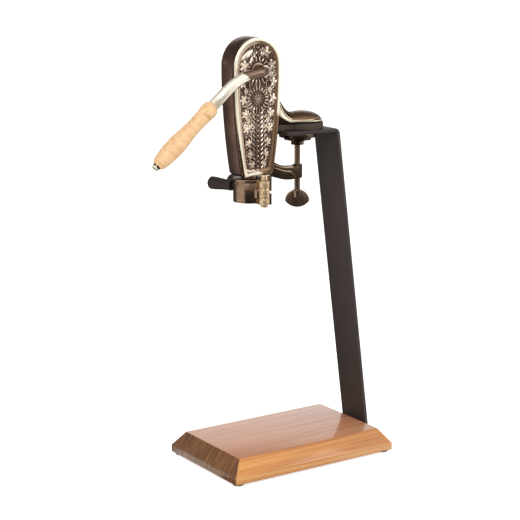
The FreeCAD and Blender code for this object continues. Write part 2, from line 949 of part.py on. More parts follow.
def crank_route():
    """Corner points of the crank rod's centre line."""
    shaft_front = VECTOR(float(d.housing_x), float(field_y - d.front_bush_collar - d.free_gap), float(d.crank_z))
    elbow = VECTOR(float(d.housing_x), -float(d.rod_standoff), float(d.crank_z))
    first = fall_direction(d.rod_first_fall)
    last = fall_direction(d.rod_last_fall)
    bend_start = elbow + first * float(d.rod_first_run)
    low, high = math.radians(float(d.rod_first_fall)), math.radians(float(d.rod_last_fall))
    radius = float(d.rod_bend_radius)
    bend_end = bend_start + VECTOR(
        -radius * (math.sin(high) - math.sin(low)),
        0,
        -radius * (math.cos(low) - math.cos(high)),
    )
    grip_start = bend_end + last * float(d.rod_bare_run)
    grip_end = grip_start + last * float(d.grip_length)
    return shaft_front, elbow, first, bend_start, bend_end, last, grip_start, grip_end


def swept(points_and_edges, centre, normal, radius):
    """A round rod along a wire of lines and arcs."""
    section = Part.Wire([Part.Circle(centre, normal, radius).toShape()])
    return Part.Wire(points_and_edges).makePipeShell([section], True, False)


def make_crank():
    shaft_front, elbow, first, bend_start, bend_end, last, grip_start, grip_end = crank_route()
    radius = float(d.elbow_radius)
    inward = VECTOR(0, -1, 0)
    turn_start = elbow - inward * radius
    turn_end = elbow + first * radius
    edges = [
        Part.LineSegment(shaft_front, turn_start).toShape(),
        arc_edge(turn_start, inward, turn_end),
        Part.LineSegment(turn_end, bend_start).toShape(),
        arc_edge(bend_start, VECTOR(first), bend_end),
        Part.LineSegment(bend_end, grip_start).toShape(),
    ]
    bar = swept(edges, shaft_front, inward, float(d.rod_radius))
    tang_length = float(d.grip_length + d.grip_nut_height)
    tang = Part.makeCylinder(float(d.tang_radius), tang_length, grip_start, last)
    hub_radius, hub_edge = float(d.crank_hub_radius), float(d.crank_hub_edge)
    hub_length = float(d.rod_standoff) + shaft_front.y
    hub = Part.makeCylinder(hub_radius, hub_length - hub_edge, shaft_front, inward)
    edge_start = shaft_front + inward * (hub_length - hub_edge)
    hub_rim = Part.makeCone(hub_radius, hub_radius - hub_edge, hub_edge, edge_start, inward)
    keep(solid_of("crank_rod", bar.fuse([hub, hub_rim, tang]).removeSplitter()), "crank_arm")

    # The grip and its nut are turned about Z and laid along the rod's last run.
    grip = lathe("grip_turned", grip_profile(), ZERO, ZERO)
    nut = lathe(
        "grip_nut_turned",
        [
            (d.tang_radius + d.seat_gap, ZERO),
            (d.grip_nut_radius, ZERO),
            (d.grip_nut_radius * GRIP_NUT_DOME_SHARE, d.grip_nut_height * GRIP_NUT_DOME_SHARE),
            (d.tang_radius + d.seat_gap, d.grip_nut_height),
        ],
        ZERO,
        ZERO,
    )
    lie = FreeCAD.Rotation(VECTOR(0, 0, 1), last)
    for thing, start, label in ((grip, grip_start, "crank_grip"), (nut, grip_end, "grip_nut")):
        laid = solid_of(f"{label}_laid", thing.Shape)
        laid.Placement = FreeCAD.Placement(start, lie)
        keep(laid, label)


GRIP_NUT_DOME_SHARE = 0.85
GRIP_WAIST_SHARE = 0.3
GRIP_BELLY_SHARE = 0.7
GRIP_MOUTH_SHARE = 0.07
GRIP_SHOULDER_SHARE = 0.94


def grip_profile():
    """Half profile of the turned grip: a lip at the rod, a waist, a full belly and a round end."""
    bore = d.tang_radius + d.seat_gap
    lip = d.grip_mouth_radius - d.foot_chamfer
    return [
        (bore, ZERO),
        (lip, ZERO),
        (d.grip_mouth_radius, d.grip_length * GRIP_MOUTH_SHARE),
        ("arc", d.grip_waist_radius, d.grip_length * GRIP_WAIST_SHARE,
         midpoint(d.grip_waist_radius, d.grip_belly_radius),
         d.grip_length * (GRIP_WAIST_SHARE + GRIP_BELLY_SHARE) / 2),
        ("arc", d.grip_belly_radius, d.grip_length * GRIP_BELLY_SHARE,
         d.grip_end_radius + d.foot_chamfer * 2, d.grip_length * GRIP_SHOULDER_SHARE),
        ("arc", d.grip_end_radius, d.grip_length * (1 + GRIP_SHOULDER_SHARE) / 2,
         d.grip_nut_radius, d.grip_length),
        (bore, d.grip_length),
    ]


# Gears and rack.
def tooth_half_angle(radius, teeth):
    """Half the angle of an involute tooth at a radius."""
    pitch = float(d.gear_module) * teeth / 2
    press = math.radians(float(d.pressure_angle))
    base = pitch * math.cos(press)
    at_pitch = math.pi / (2 * teeth) - float(d.gear_backlash) / (2 * pitch)
    if radius <= base:
        return at_pitch + math.tan(press) - press
    local = math.acos(base / radius)
    return at_pitch + (math.tan(press) - press) - (math.tan(local) - local)


ADDENDUM_SHARE = 0.95
DEDENDUM_SHARE = 1.2
FLANK_SHARES = (0.45, 1.0)


def gear_face(teeth, phase, x, z, y):
    """The outline of an involute gear in a plane square to Y, with a tooth centred on phase."""
    module = float(d.gear_module)
    pitch = module * teeth / 2
    root = pitch - module * DEDENDUM_SHARE
    tip = pitch + module * ADDENDUM_SHARE
    base = max(root, pitch * math.cos(math.radians(float(d.pressure_angle))))
    flank = [base + (tip - base) * share for share in FLANK_SHARES]
    corners = []
    for tooth in range(teeth):
        middle = phase + 2 * math.pi * tooth / teeth
        rising = [(radius, -tooth_half_angle(radius, teeth)) for radius in [root] + flank]
        falling = [(radius, -angle) for radius, angle in reversed(rising)]
        for radius, angle in rising + falling:
            corners.append(VECTOR(
                x + radius * math.cos(middle + angle),
                y,
                z + radius * math.sin(middle + angle),
            ))
    return Part.Face(Part.makePolygon(corners + corners[:1]))


def gear_solid(teeth, phase, across, near_y, width):
    face = gear_face(teeth, phase, float(across[0]), float(across[1]), float(near_y))
    return face.extrude(VECTOR(0, float(width), 0))


def drum(radius, across, low, high):
    start = VECTOR(float(across[0]), float(low), float(across[1]))
    return Part.makeCylinder(float(radius), float(high - low), start, VECTOR(0, 1, 0))


def make_gears():
    crank_across = (d.housing_x, d.crank_z)
    pinion_across = (pinion_x, pinion_z)
    crank_teeth = int(d.crank_teeth.number)
    pinion_teeth = int(d.pinion_teeth.number)
    towards_pinion = math.atan2(float(pinion_z - d.crank_z), float(d.pinion_offset_x))
    gear = gear_solid(crank_teeth, towards_pinion, crank_across, d.front_gear_near_y, d.front_gear_width)
    front_far = d.front_gear_near_y + d.front_gear_width
    hub = drum(d.shaft_radius * 2, crank_across, front_far, front_far + d.housing_wall)
    bore = drum(
        d.shaft_radius + d.seat_gap,
        crank_across,
        d.front_gear_near_y - d.overrun,
        front_far + d.housing_wall + d.overrun,
    )
    keep(solid_of("crank_gear_solid", gear.fuse(hub).cut(bore)), "crank_gear")

    # The pinion shows a gap to the crank gear and a tooth to the rack.
    gap_phase = towards_pinion + math.pi + math.pi / pinion_teeth
    front = gear_solid(pinion_teeth, gap_phase, pinion_across, d.front_gear_near_y, d.front_gear_width)
    rear = gear_solid(pinion_teeth, 0.0, pinion_across, d.rack_near_y, d.rack_width)
    rear_far = d.rack_near_y + d.rack_width
    neck = drum(d.pinion_hub_radius, pinion_across, d.front_gear_near_y, rear_far)
    bore = drum(
        d.axle_radius + d.running_gap,
        pinion_across,
        d.front_gear_near_y - d.overrun,
        rear_far + d.overrun,
    )
    keep(solid_of("drive_pinion_solid", front.fuse([neck, rear]).cut(bore)), "drive_pinion")
    keep(
        rod("axle", d.axle_radius, "Y", front_inner_y, back_inner_y, pinion_across),
        "pinion_axle",
    )

    # Straight rack, with a gap opposite the pinion's tooth.
    module = float(d.gear_module)
    pitch = math.pi * module
    low = float(carriage_top)
    high = low + float(rack_length)
    pitch_x = float(pinion_x - pitch_radius)
    tip_x = pitch_x + module * ADDENDUM_SHARE
    root_x = pitch_x - module * DEDENDUM_SHARE
    near_y = float(d.rack_near_y)
    slope = math.tan(math.radians(float(d.pressure_angle)))
    half = pitch / 4 - float(d.gear_backlash) / 2
    half_tip = half - (tip_x - pitch_x) * slope
    half_root = half + (pitch_x - root_x) * slope
    corners = [(root_x, low)]
    first = math.ceil((low + half_root - float(pinion_z)) / pitch - 0.5)
    last = math.floor((high - half_root - float(pinion_z)) / pitch - 0.5)
    for place in range(first, last + 1):
        middle = float(pinion_z) + (place + 0.5) * pitch
        corners += [
            (root_x, middle - half_root),
            (tip_x, middle - half_tip),
            (tip_x, middle + half_tip),
            (root_x, middle + half_root),
        ]
    corners += [(root_x, high), (float(d.rack_back_x), high), (float(d.rack_back_x), low)]
    points = [VECTOR(x, near_y, z) for x, z in corners]
    face = Part.Face(Part.makePolygon(points + points[:1]))
    keep(solid_of("rack_solid", face.extrude(VECTOR(0, float(d.rack_width), 0))), "rack")


# Carriage on its two guide rods.
def make_carriage():
    half = d.carriage_depth / 2
    block = box(
        "carriage_block",
        (d.worm_x - d.carriage_left_length, d.worm_x + d.carriage_right_length),
        (-half, d.rack_near_y + d.rack_width),
        (carriage_low, carriage_top),
    )
    tools = [
        rod(
            "worm_bearing",
            d.worm_shank_radius + d.running_gap,
            "Z",
            carriage_low - d.overrun,
            carriage_top + d.overrun,
            (d.worm_x, ZERO),
        )
    ]
    bridge_top = d.bridge_z + d.bridge_height
    rods = []
    bridge_holes = []
    for place, offset in enumerate((-d.left_rod_offset, d.right_rod_offset)):
        across = (d.worm_x + offset, ZERO)
        tools.append(
            rod(
                f"guide_bore_{place}",
                d.guide_rod_radius + d.running_gap,
                "Z",
                carriage_low - d.overrun,
                carriage_top + d.overrun,
                across,
            )
        )
        rods.append(rod(f"guide_rod_{place}", d.guide_rod_radius, "Z", d.guide_rod_foot_z, bridge_top, across))
        bridge_holes.append(
            rod(
                f"bridge_hole_{place}",
                d.guide_rod_radius + d.seat_gap,
                "Z",
                d.bridge_z - d.overrun,
                bridge_top + d.overrun,
                across,
            )
        )
    keep(cut("carriage_cut", block, *tools), "carriage")
    keep(group("guide_rod_pair", *rods), "guide_rods")
    reach = d.housing_half_width - d.housing_wall - d.bridge_wall_gap
    bar = box(
        "bridge_bar",
        (d.housing_x - reach, d.housing_x + reach),
        (-d.bridge_depth / 2, d.bridge_depth / 2),
        (d.bridge_z, bridge_top),
    )
    keep(cut("bridge_cut", bar, *bridge_holes), "guide_bridge")


# Worm: an open right-handed helix below a short shank.
def helix_point(turn, low):
    """A point of the worm's centre line and its direction, a number of turns up from the tip."""
    # At the height of the upper guide pin the wire is on the +Y side.
    pin_turn = (float(d.guide_pin_z) - low) / float(d.worm_pitch)
    angle = 2 * math.pi * (turn - pin_turn + QUARTER_TURN_SHARE)
    radius = float(d.worm_mean_radius)
    pitch = float(d.worm_pitch)
    place = VECTOR(radius * math.cos(angle), radius * math.sin(angle), low + pitch * turn)
    rise = pitch / (2 * math.pi)
    return place, VECTOR(-radius * math.sin(angle), radius * math.cos(angle), rise).normalize()


QUARTER_TURN_SHARE = 0.25
STEPS_PER_TURN = 12
WIRE_SIDES = 8
WORM_ROOT_SHARE = 1 / 6


def wire_section(place, along, radius):
    """The wire's section at a point of the helix, square to its run."""
    outward = VECTOR(place.x, place.y, 0).normalize()
    upward = along.cross(outward).normalize()
    corners = []
    for side in range(WIRE_SIDES):
        turn = 2 * math.pi * side / WIRE_SIDES
        corners.append(place + outward * (radius * math.cos(turn)) + upward * (radius * math.sin(turn)))
    return corners


def flat_face(*corners):
    return Part.Face(Part.makePolygon(list(corners) + [corners[0]]))


def wire_skin(tip, sections):
    """A closed wire from its point through its sections, in flat triangles."""
    faces = [flat_face(*sections[-1])]
    for side in range(WIRE_SIDES):
        after = (side + 1) % WIRE_SIDES
        faces.append(flat_face(tip, sections[0][after], sections[0][side]))
        for near, far in zip(sections, sections[1:]):
            faces.append(flat_face(near[side], near[after], far[side]))
            faces.append(flat_face(near[after], far[after], far[side]))
    skin = Part.Shell(faces)
    skin.sewShape()
    return Part.Solid(skin)


def worm_low_z():
    return carriage_low - d.worm_end_gap - d.worm_shoulder - d.worm_pitch * d.worm_turns


def make_worm():
    low = float(worm_low_z())
    turns = int(d.worm_turns.number)
    wire_radius = float(d.worm_wire_radius)
    sections = []
    for step in range(round((turns + WORM_ROOT_SHARE) * STEPS_PER_TURN) + 1):
        place, along = helix_point(step / STEPS_PER_TURN, low)
        sections.append(wire_section(place, along, wire_radius))
    turn_length = math.hypot(2 * math.pi * float(d.worm_mean_radius), float(d.worm_pitch))
    tip = helix_point(-float(d.worm_point) / turn_length, low)[0]
    coil = wire_skin(tip, sections)
    shank_low = float(carriage_low - d.worm_end_gap - d.worm_shoulder)
    shoulder = Part.makeCylinder(float(d.worm_shoulder_radius), float(d.worm_shoulder), VECTOR(0, 0, shank_low))
    shank_top = float(carriage_top + d.worm_end_gap + d.worm_head_height)
    shank = Part.makeCylinder(float(d.worm_shank_radius), shank_top - shank_low, VECTOR(0, 0, shank_low))
    worm = solid_of("worm_solid", coil.fuse([shoulder, shank]))
    put(worm, d.worm_x)
    keep(worm, "worm")
    head = lathe(
        "worm_head_turned",
        [
            (d.worm_shank_radius + d.seat_gap, ZERO),
            (d.worm_head_radius, ZERO),
            (d.worm_head_radius, d.worm_head_height),
            (d.worm_shank_radius + d.seat_gap, d.worm_head_height),
        ],
        d.worm_x,
        ZERO,
        carriage_top + d.worm_end_gap,
    )
    keep(head, "worm_head")


# Nut at the mouth, whose two pins ride in the worm's groove.
def make_nut():
    flange_low = d.housing_base_z + d.housing_wall + d.housing_base_rise
    flange_block = box(
        "nut_flange_block",
        (d.worm_x - d.nut_half_length, d.worm_x + d.nut_half_length),
        (-d.nut_depth / 2, d.nut_depth / 2),
        (flange_low, d.nut_flange_top_z),
    )
    inset = d.housing_wall + d.free_gap / 2
    cavity = plate("nut_room", "XZ", teardrop(inset), -d.nut_depth, d.nut_depth)
    flange = common("nut_flange", flange_block, cavity)
    neck = rod("nut_neck", d.nut_neck_radius, "Z", d.collar_top_z, flange_low, (d.worm_x, ZERO))
    tools = [
        rod(
            "nut_bore",
            d.nut_bore_radius,
            "Z",
            d.collar_top_z - d.overrun,
            d.nut_flange_top_z + d.overrun,
            (d.worm_x, ZERO),
        )
    ]
    for place, offset in enumerate((-d.left_rod_offset, d.right_rod_offset)):
        tools.append(
            rod(
                f"nut_rod_hole_{place}",
                d.guide_rod_radius + d.seat_gap,
                "Z",
                d.guide_rod_foot_z,
                d.nut_flange_top_z + d.overrun,
                (d.worm_x + offset, ZERO),
            )
        )
    # The groove faces -Y at one height and +Y half a pitch lower.
    upper = d.guide_pin_z
    lower = upper - d.worm_pitch / 2
    pins = []
    outer = d.nut_neck_radius - d.guide_pin_inset
    for place, (side, z) in enumerate(((-1, upper), (1, lower))):
        low = d.guide_pin_reach if side > 0 else -outer
        high = outer if side > 0 else -d.guide_pin_reach
        pins.append(rod(f"guide_pin_{place}", d.guide_pin_radius, "Y", low, high, (d.worm_x, z)))
        hole_low = low if side > 0 else -d.nut_depth
        hole_high = d.nut_depth if side > 0 else high
        tools.append(
            rod(
                f"guide_pin_hole_{place}",
                d.guide_pin_radius + d.seat_gap,
                "Y",
                hole_low,
                hole_high,
                (d.worm_x, z),
            )
        )
    keep(cut("worm_nut_cut", fuse("nut_whole", flange, neck), *tools), "worm_nut")
    keep(group("guide_pin_pair", *pins), "guide_pins")


# Bottle collar: a fixed rear jaw and a front jaw on a long hinge.
def half_ring(label, inner, outer, low, high, side):
    """Half a ring about the worm's axis, on the side of -X or +X."""
    top = -outer if side < 0 else outer
    edge = d.worm_x + d.jaw_gap * side
    ring = cut(
        f"{label}_ring",
        rod(f"{label}_outer", outer, "Z", low, high, (d.worm_x, ZERO)),
        rod(f"{label}_inner", inner, "Z", low - d.overrun, high + d.overrun, (d.worm_x, ZERO)),
    )
    far = d.worm_x + (top + d.overrun * side)
    span = (far, edge) if side < 0 else (edge, far)
    room = box(f"{label}_room", span, (-outer - d.overrun, outer + d.overrun), (low, high))
    return common(f"{label}_half", ring, room)


def knuckle(label, low, high, web_x):
    """One knuckle of the hinge barrel and the web that ties it to a jaw."""
    barrel = rod(f"{label}_barrel", d.hinge_barrel_radius, "Z", low, high, (d.hinge_x, d.hinge_y))
    web = box(f"{label}_web", web_x, (d.hinge_y, -d.liner_bore_radius - d.worm_shank_radius), (low, high))
    return [barrel, web]


def lever_frame(angle):
    """Start and direction of a squeeze lever's rod."""
    turn = math.radians(float(angle))
    aim = VECTOR(math.cos(turn), math.sin(turn), 0)
    centre = VECTOR(float(d.worm_x), 0, float(d.lever_z))
    return centre + aim * float(d.lever_root_radius), aim


def lever_rod(label, angle):
    start, aim = lever_frame(angle)
    length = float(d.collar_radius - d.lever_root_radius + d.lever_bare + d.lever_grip_length - d.lever_grip_end)
    return solid_of(label, Part.makeCylinder(float(d.lever_rod_radius), length, start, aim))


def lever_grip(label, angle):
    """A waisted sleeve with a closed round end on a lever rod."""
    start, aim = lever_frame(angle)
    length = d.lever_grip_length
    bore = d.lever_rod_radius + d.seat_gap
    inner_end = length - d.lever_grip_end + d.seat_gap
    sleeve = lathe(
        f"{label}_turned",
        [
            (bore, ZERO),
            (d.lever_grip_waist_radius, ZERO),
            (d.lever_grip_waist_radius, length / 3),
            (d.lever_grip_radius, length - d.lever_grip_radius),
            (d.lever_grip_radius, length - d.lever_grip_end),
            (d.lever_grip_radius - d.lever_grip_end, length),
            (ZERO, length),
            (ZERO, inner_end),
            (bore, inner_end),
        ],
        ZERO,
        ZERO,
    )
    laid = solid_of(f"{label}_laid", sleeve.Shape)
    root = start + aim * float(d.collar_radius - d.lever_root_radius + d.lever_bare)
    laid.Placement = FreeCAD.Placement(root, FreeCAD.Rotation(VECTOR(0, 0, 1), aim))
    keep(laid, label)


def make_collar():
    low, top = d.collar_low_z, d.collar_top_z
    upper_knuckle_low = d.hinge_top_z - d.knuckle_height
    lower_knuckle_top = d.hinge_low_z + d.knuckle_height
    fixed_web = (d.worm_x + d.jaw_gap, d.hinge_x + d.hinge_web / 2)
    swing_web = (d.worm_x - d.hinge_web / 2, d.worm_x - d.jaw_gap)

    plate_disc = rod("collar_plate", d.collar_radius, "Z", plate_low, top, (d.worm_x, ZERO))
    ring = half_ring("fixed", d.collar_bore_radius, d.collar_radius, low, plate_low, 1)
    lug = box(
        "rear_lug",
        (d.worm_x + d.collar_bore_radius + d.jaw_gap, d.rear_lug_x),
        (-d.rear_lug_half_width, d.rear_lug_half_width),
        (d.rear_lug_low_z, top),
    )
    notch = box(
        "rear_lug_notch",
        (d.rear_lug_x - d.rear_lug_notch_depth, d.rear_lug_x + d.overrun),
        (-d.rear_lug_half_width - d.overrun, d.rear_lug_half_width + d.overrun),
        (d.rear_lug_notch_z, d.rear_lug_notch_z + d.rear_lug_notch_height),
    )
    knuckles = knuckle("upper", upper_knuckle_low, d.hinge_top_z, fixed_web)
    knuckles += knuckle("lower", d.hinge_low_z, lower_knuckle_top, fixed_web)
    lower_trim = box(
        "lower_trim",
        (d.worm_x - d.collar_radius, d.hinge_x + d.collar_radius),
        (-d.collar_bore_radius - d.overrun, d.collar_bore_radius),
        (d.hinge_low_z - d.overrun, low),
    )
    # The ring is hollowed round the middle knuckle, which turns with the front jaw.
    knuckle_room = rod(
        "knuckle_room",
        d.hinge_barrel_radius + d.jaw_gap,
        "Z",
        lower_knuckle_top,
        upper_knuckle_low,
        (d.hinge_x, d.hinge_y),
    )
    relieved = cut("ring_relieved", ring, knuckle_room)
    rear_rod = lever_rod("rear_lever_rod", d.rear_lever_angle)
    whole = fuse("fixed_whole", plate_disc, relieved, lug, *knuckles, rear_rod)
    mouth = rod("mouth", d.mouth_hole_radius, "Z", plate_low - d.overrun, top + d.overrun, (d.worm_x, ZERO))
    neck_room = rod("neck_room", d.collar_bore_radius, "Z", d.rear_lug_low_z - d.overrun, plate_low, (d.worm_x, ZERO))
    pin_hole = rod(
        "fixed_pin_hole",
        d.hinge_pin_radius + d.seat_gap,
        "Z",
        d.hinge_low_z - d.overrun,
        d.hinge_top_z + d.overrun,
        (d.hinge_x, d.hinge_y),
    )
    keep(cut("fixed_jaw_cut", whole, mouth, neck_room, pin_hole, notch, lower_trim), "fixed_jaw")

    swing_top = plate_low - d.jaw_gap
    front_ring = half_ring("swing", d.collar_bore_radius, d.collar_radius, low, swing_top, -1)
    mid_low = lower_knuckle_top + d.jaw_gap
    mid_high = upper_knuckle_low - d.jaw_gap
    swing_parts = knuckle("middle", mid_low, mid_high, swing_web)
    swing_whole = fuse(
        "swing_whole",
        front_ring,
        *swing_parts,
        lever_rod("front_lever_rod", d.front_lever_angle),
    )
    swing_hole = rod(
        "swing_pin_hole",
        d.hinge_pin_radius + d.running_gap,
        "Z",
        mid_low - d.overrun,
        mid_high + d.overrun,
        (d.hinge_x, d.hinge_y),
    )
    swing_bore = rod("swing_bore", d.collar_bore_radius, "Z", low - d.overrun, plate_low, (d.worm_x, ZERO))
    keep(cut("swing_jaw_cut", swing_whole, swing_hole, swing_bore), "swing_jaw")

    liner_outer = d.collar_bore_radius - d.seat_gap
    for side, label in ((1, "fixed_liner"), (-1, "swing_liner")):
        liner_top = swing_top if side < 0 else plate_low
        keep(half_ring(label, d.liner_bore_radius, liner_outer, low, liner_top, side), label)

    pin_head_low = d.hinge_low_z - d.hinge_head_height
    pin_top = d.hinge_top_z + d.hinge_finial_height
    shaft = rod("hinge_shaft", d.hinge_pin_radius, "Z", pin_head_low, pin_top, (d.hinge_x, d.hinge_y))
    lower_head = rod("hinge_foot", d.hinge_head_radius, "Z", pin_head_low, d.hinge_low_z, (d.hinge_x, d.hinge_y))
    upper_head = cone(
        "hinge_finial",
        d.hinge_head_radius,
        d.hinge_finial_radius,
        "Z",
        d.hinge_top_z,
        pin_top,
        (d.hinge_x, d.hinge_y),
    )
    keep(fuse("hinge_pin_whole", shaft, lower_head, upper_head), "hinge_pin")

    lever_grip("front_lever_grip", d.front_lever_angle)
    lever_grip("rear_lever_grip", d.rear_lever_angle)


# Clamp: saddle and pad on the shelf, lower arm with its boss, and the screw.
def make_clamp():
    casting_seat = plate("casting_seat", "XZ", teardrop(ZERO), -half_depth, half_depth)
    rim_z = d.saddle_low_z + d.saddle_rim
    dome = (d.saddle_radius - d.pad_chamfer, rim_z, d.saddle_crown_z)
    disc = lathe(
        "saddle_disc",
        [
            (ZERO, d.saddle_low_z),
            (d.saddle_radius - d.pad_chamfer, d.saddle_low_z),
            (d.saddle_radius, d.saddle_low_z + d.pad_chamfer),
            (d.saddle_radius, rim_z - d.pad_chamfer),
            (d.saddle_radius - d.pad_chamfer, rim_z),
            ("arc", *dome_point(*dome, d.saddle_radius * DOME_MIDDLE_SHARE), *dome_point(*dome, d.saddle_flat_radius)),
            (ZERO, dome_point(*dome, d.saddle_flat_radius)[1]),
        ],
        d.saddle_x,
        ZERO,
    )
    sweep = plate(
        "saddle_sweep",
        "XZ",
        [
            (d.housing_x, d.saddle_low_z),
            (d.saddle_x, d.saddle_low_z),
            (d.saddle_x, rim_z),
            (d.saddle_sweep_x, rim_z),
            ("arc", d.saddle_arm_top_x + (d.saddle_sweep_x - d.saddle_arm_top_x) * SWEEP_X_SHARE,
             rim_z + (d.saddle_arm_top_z - rim_z) * SWEEP_Z_SHARE, d.saddle_arm_top_x, d.saddle_arm_top_z),
            (d.housing_x, d.saddle_arm_top_z),
        ],
        -d.saddle_radius,
        d.saddle_radius,
    )
    plan = plate(
        "saddle_plan",
        "XY",
        [
            (d.housing_x, -d.saddle_arm_half_width),
            (d.saddle_arm_top_x, -d.saddle_arm_half_width),
            ("arc", d.saddle_x - d.saddle_radius * PLAN_FAR_SHARE, -d.saddle_radius * PLAN_HALF_SHARE,
             d.saddle_x, -d.saddle_radius + d.pad_chamfer),
            (d.saddle_x, d.saddle_radius - d.pad_chamfer),
            ("arc", d.saddle_x - d.saddle_radius * PLAN_FAR_SHARE, d.saddle_radius * PLAN_HALF_SHARE,
             d.saddle_arm_top_x, d.saddle_arm_half_width),
            (d.housing_x, d.saddle_arm_half_width),
        ],
        d.saddle_low_z,
        d.saddle_arm_top_z,
    )
    casting = fuse("saddle_casting", disc, common("saddle_web", sweep, plan))
    bolt_bore = d.clamp_bolt_radius + d.seat_gap
    bolt_end = {}
    bores = []
    for place, (y, z) in enumerate(clamp_bolt_places()):
        wall_x = casting_inner_x(z)
        bolt_end[place] = wall_x + d.clamp_bolt_length
        bores.append(rod(f"clamp_bore_{place}", bolt_bore, "X", wall_x, bolt_end[place], (y, z)))
    keep(cut("saddle_cut", casting, casting_seat, bores[0], bores[1]), "clamp_saddle")

    pad_disc = lathe(
        "pad_disc",
        [
            (ZERO, d.shelf_top_z),
            (d.pad_radius - d.pad_chamfer, d.shelf_top_z),
            (d.pad_radius, d.shelf_top_z + d.pad_chamfer),
            (d.pad_radius, d.saddle_low_z - d.pad_chamfer),
            (d.pad_radius - d.pad_chamfer, d.saddle_low_z),
            (ZERO, d.saddle_low_z),
        ],
        d.saddle_x,
        ZERO,
    )
    keep(pad_disc, "saddle_pad")

    boss_top = d.boss_low_z + d.boss_height
    boss = lathe(
        "boss_turned",
        [
            (ZERO, d.boss_low_z),
            (d.boss_radius - d.boss_edge, d.boss_low_z),
            (d.boss_radius, d.boss_low_z + d.boss_edge),
            (d.boss_radius, boss_top - d.boss_edge),
            (d.boss_radius - d.boss_edge, boss_top),
            (ZERO, boss_top),
        ],
        d.screw_x,
        ZERO,
    )
    arm = plate(
        "arm_strip",
        "XZ",
        [
            (d.housing_x, d.arm_root_low_z),
            (d.housing_x + d.housing_base_half_width, d.arm_root_low_z),
            ("arc", d.arm_sag_x, d.arm_sag_low_z, d.screw_x, d.arm_end_low_z),
            (d.screw_x, d.arm_end_top_z),
            ("arc", d.arm_sag_x, d.arm_sag_top_z, d.housing_x + d.housing_foot_half_width, d.arm_root_top_z),
            (d.housing_x, d.arm_root_top_z),
        ],
        -d.arm_half_width,
        d.arm_half_width,
    )
    lower = fuse("arm_casting", arm, boss)
    screw_bore = rod(
        "boss_bore",
        d.clamp_screw_radius + d.running_gap,
        "Z",
        d.boss_low_z - d.overrun,
        boss_top + d.overrun,
        (d.screw_x, ZERO),
    )
    keep(cut("arm_cut", lower, casting_seat, screw_bore, bores[2]), "clamp_arm")

    bolts = []
    for place, (y, z) in enumerate(clamp_bolt_places()):
        wall_x = casting_inner_x(z)
        head_low = wall_x - d.clamp_bolt_head_height
        head = hexagon(f"bolt_head_{place}", d.clamp_bolt_head_radius, "X", head_low, wall_x, (y, z))
        shank = rod(f"bolt_shank_{place}", d.clamp_bolt_radius, "X", wall_x, bolt_end[place], (y, z))
        bolts.append(fuse(f"clamp_bolt_{place}", head, shank))
    keep(group("clamp_bolt_set", *bolts), "clamp_bolts")


DOME_MIDDLE_SHARE = 0.6
SWEEP_X_SHARE = 0.3
SWEEP_Z_SHARE = 0.3
PLAN_FAR_SHARE = 0.95
PLAN_HALF_SHARE = 0.66


def casting_inner_x(z):
    """The inner face of the casting's +X side at a height, a little inside its bow."""
    crown_z = float(d.housing_crown_z)
    middle_z = (crown_z + float(d.housing_foot_z)) / 2
    widths = [float(d.housing_half_width), float(d.housing_mid_half_width), float(d.housing_foot_half_width)]
    arc = Part.Arc(
        VECTOR(widths[0], 0, crown_z),
        VECTOR(widths[1], 0, middle_z),
        VECTOR(widths[2], 0, float(d.housing_foot_z)),
    )
    level = float(z) - float(d.clamp_bolt_head_radius)
    line = Part.LineSegment(VECTOR(0, 0, level), VECTOR(widths[0] * 2, 0, level))
    hit = arc.toShape().distToShape(line.toShape())[1][0][0]
    return d.housing_x + (as_size(hit.x) - d.housing_wall - d.seat_gap)


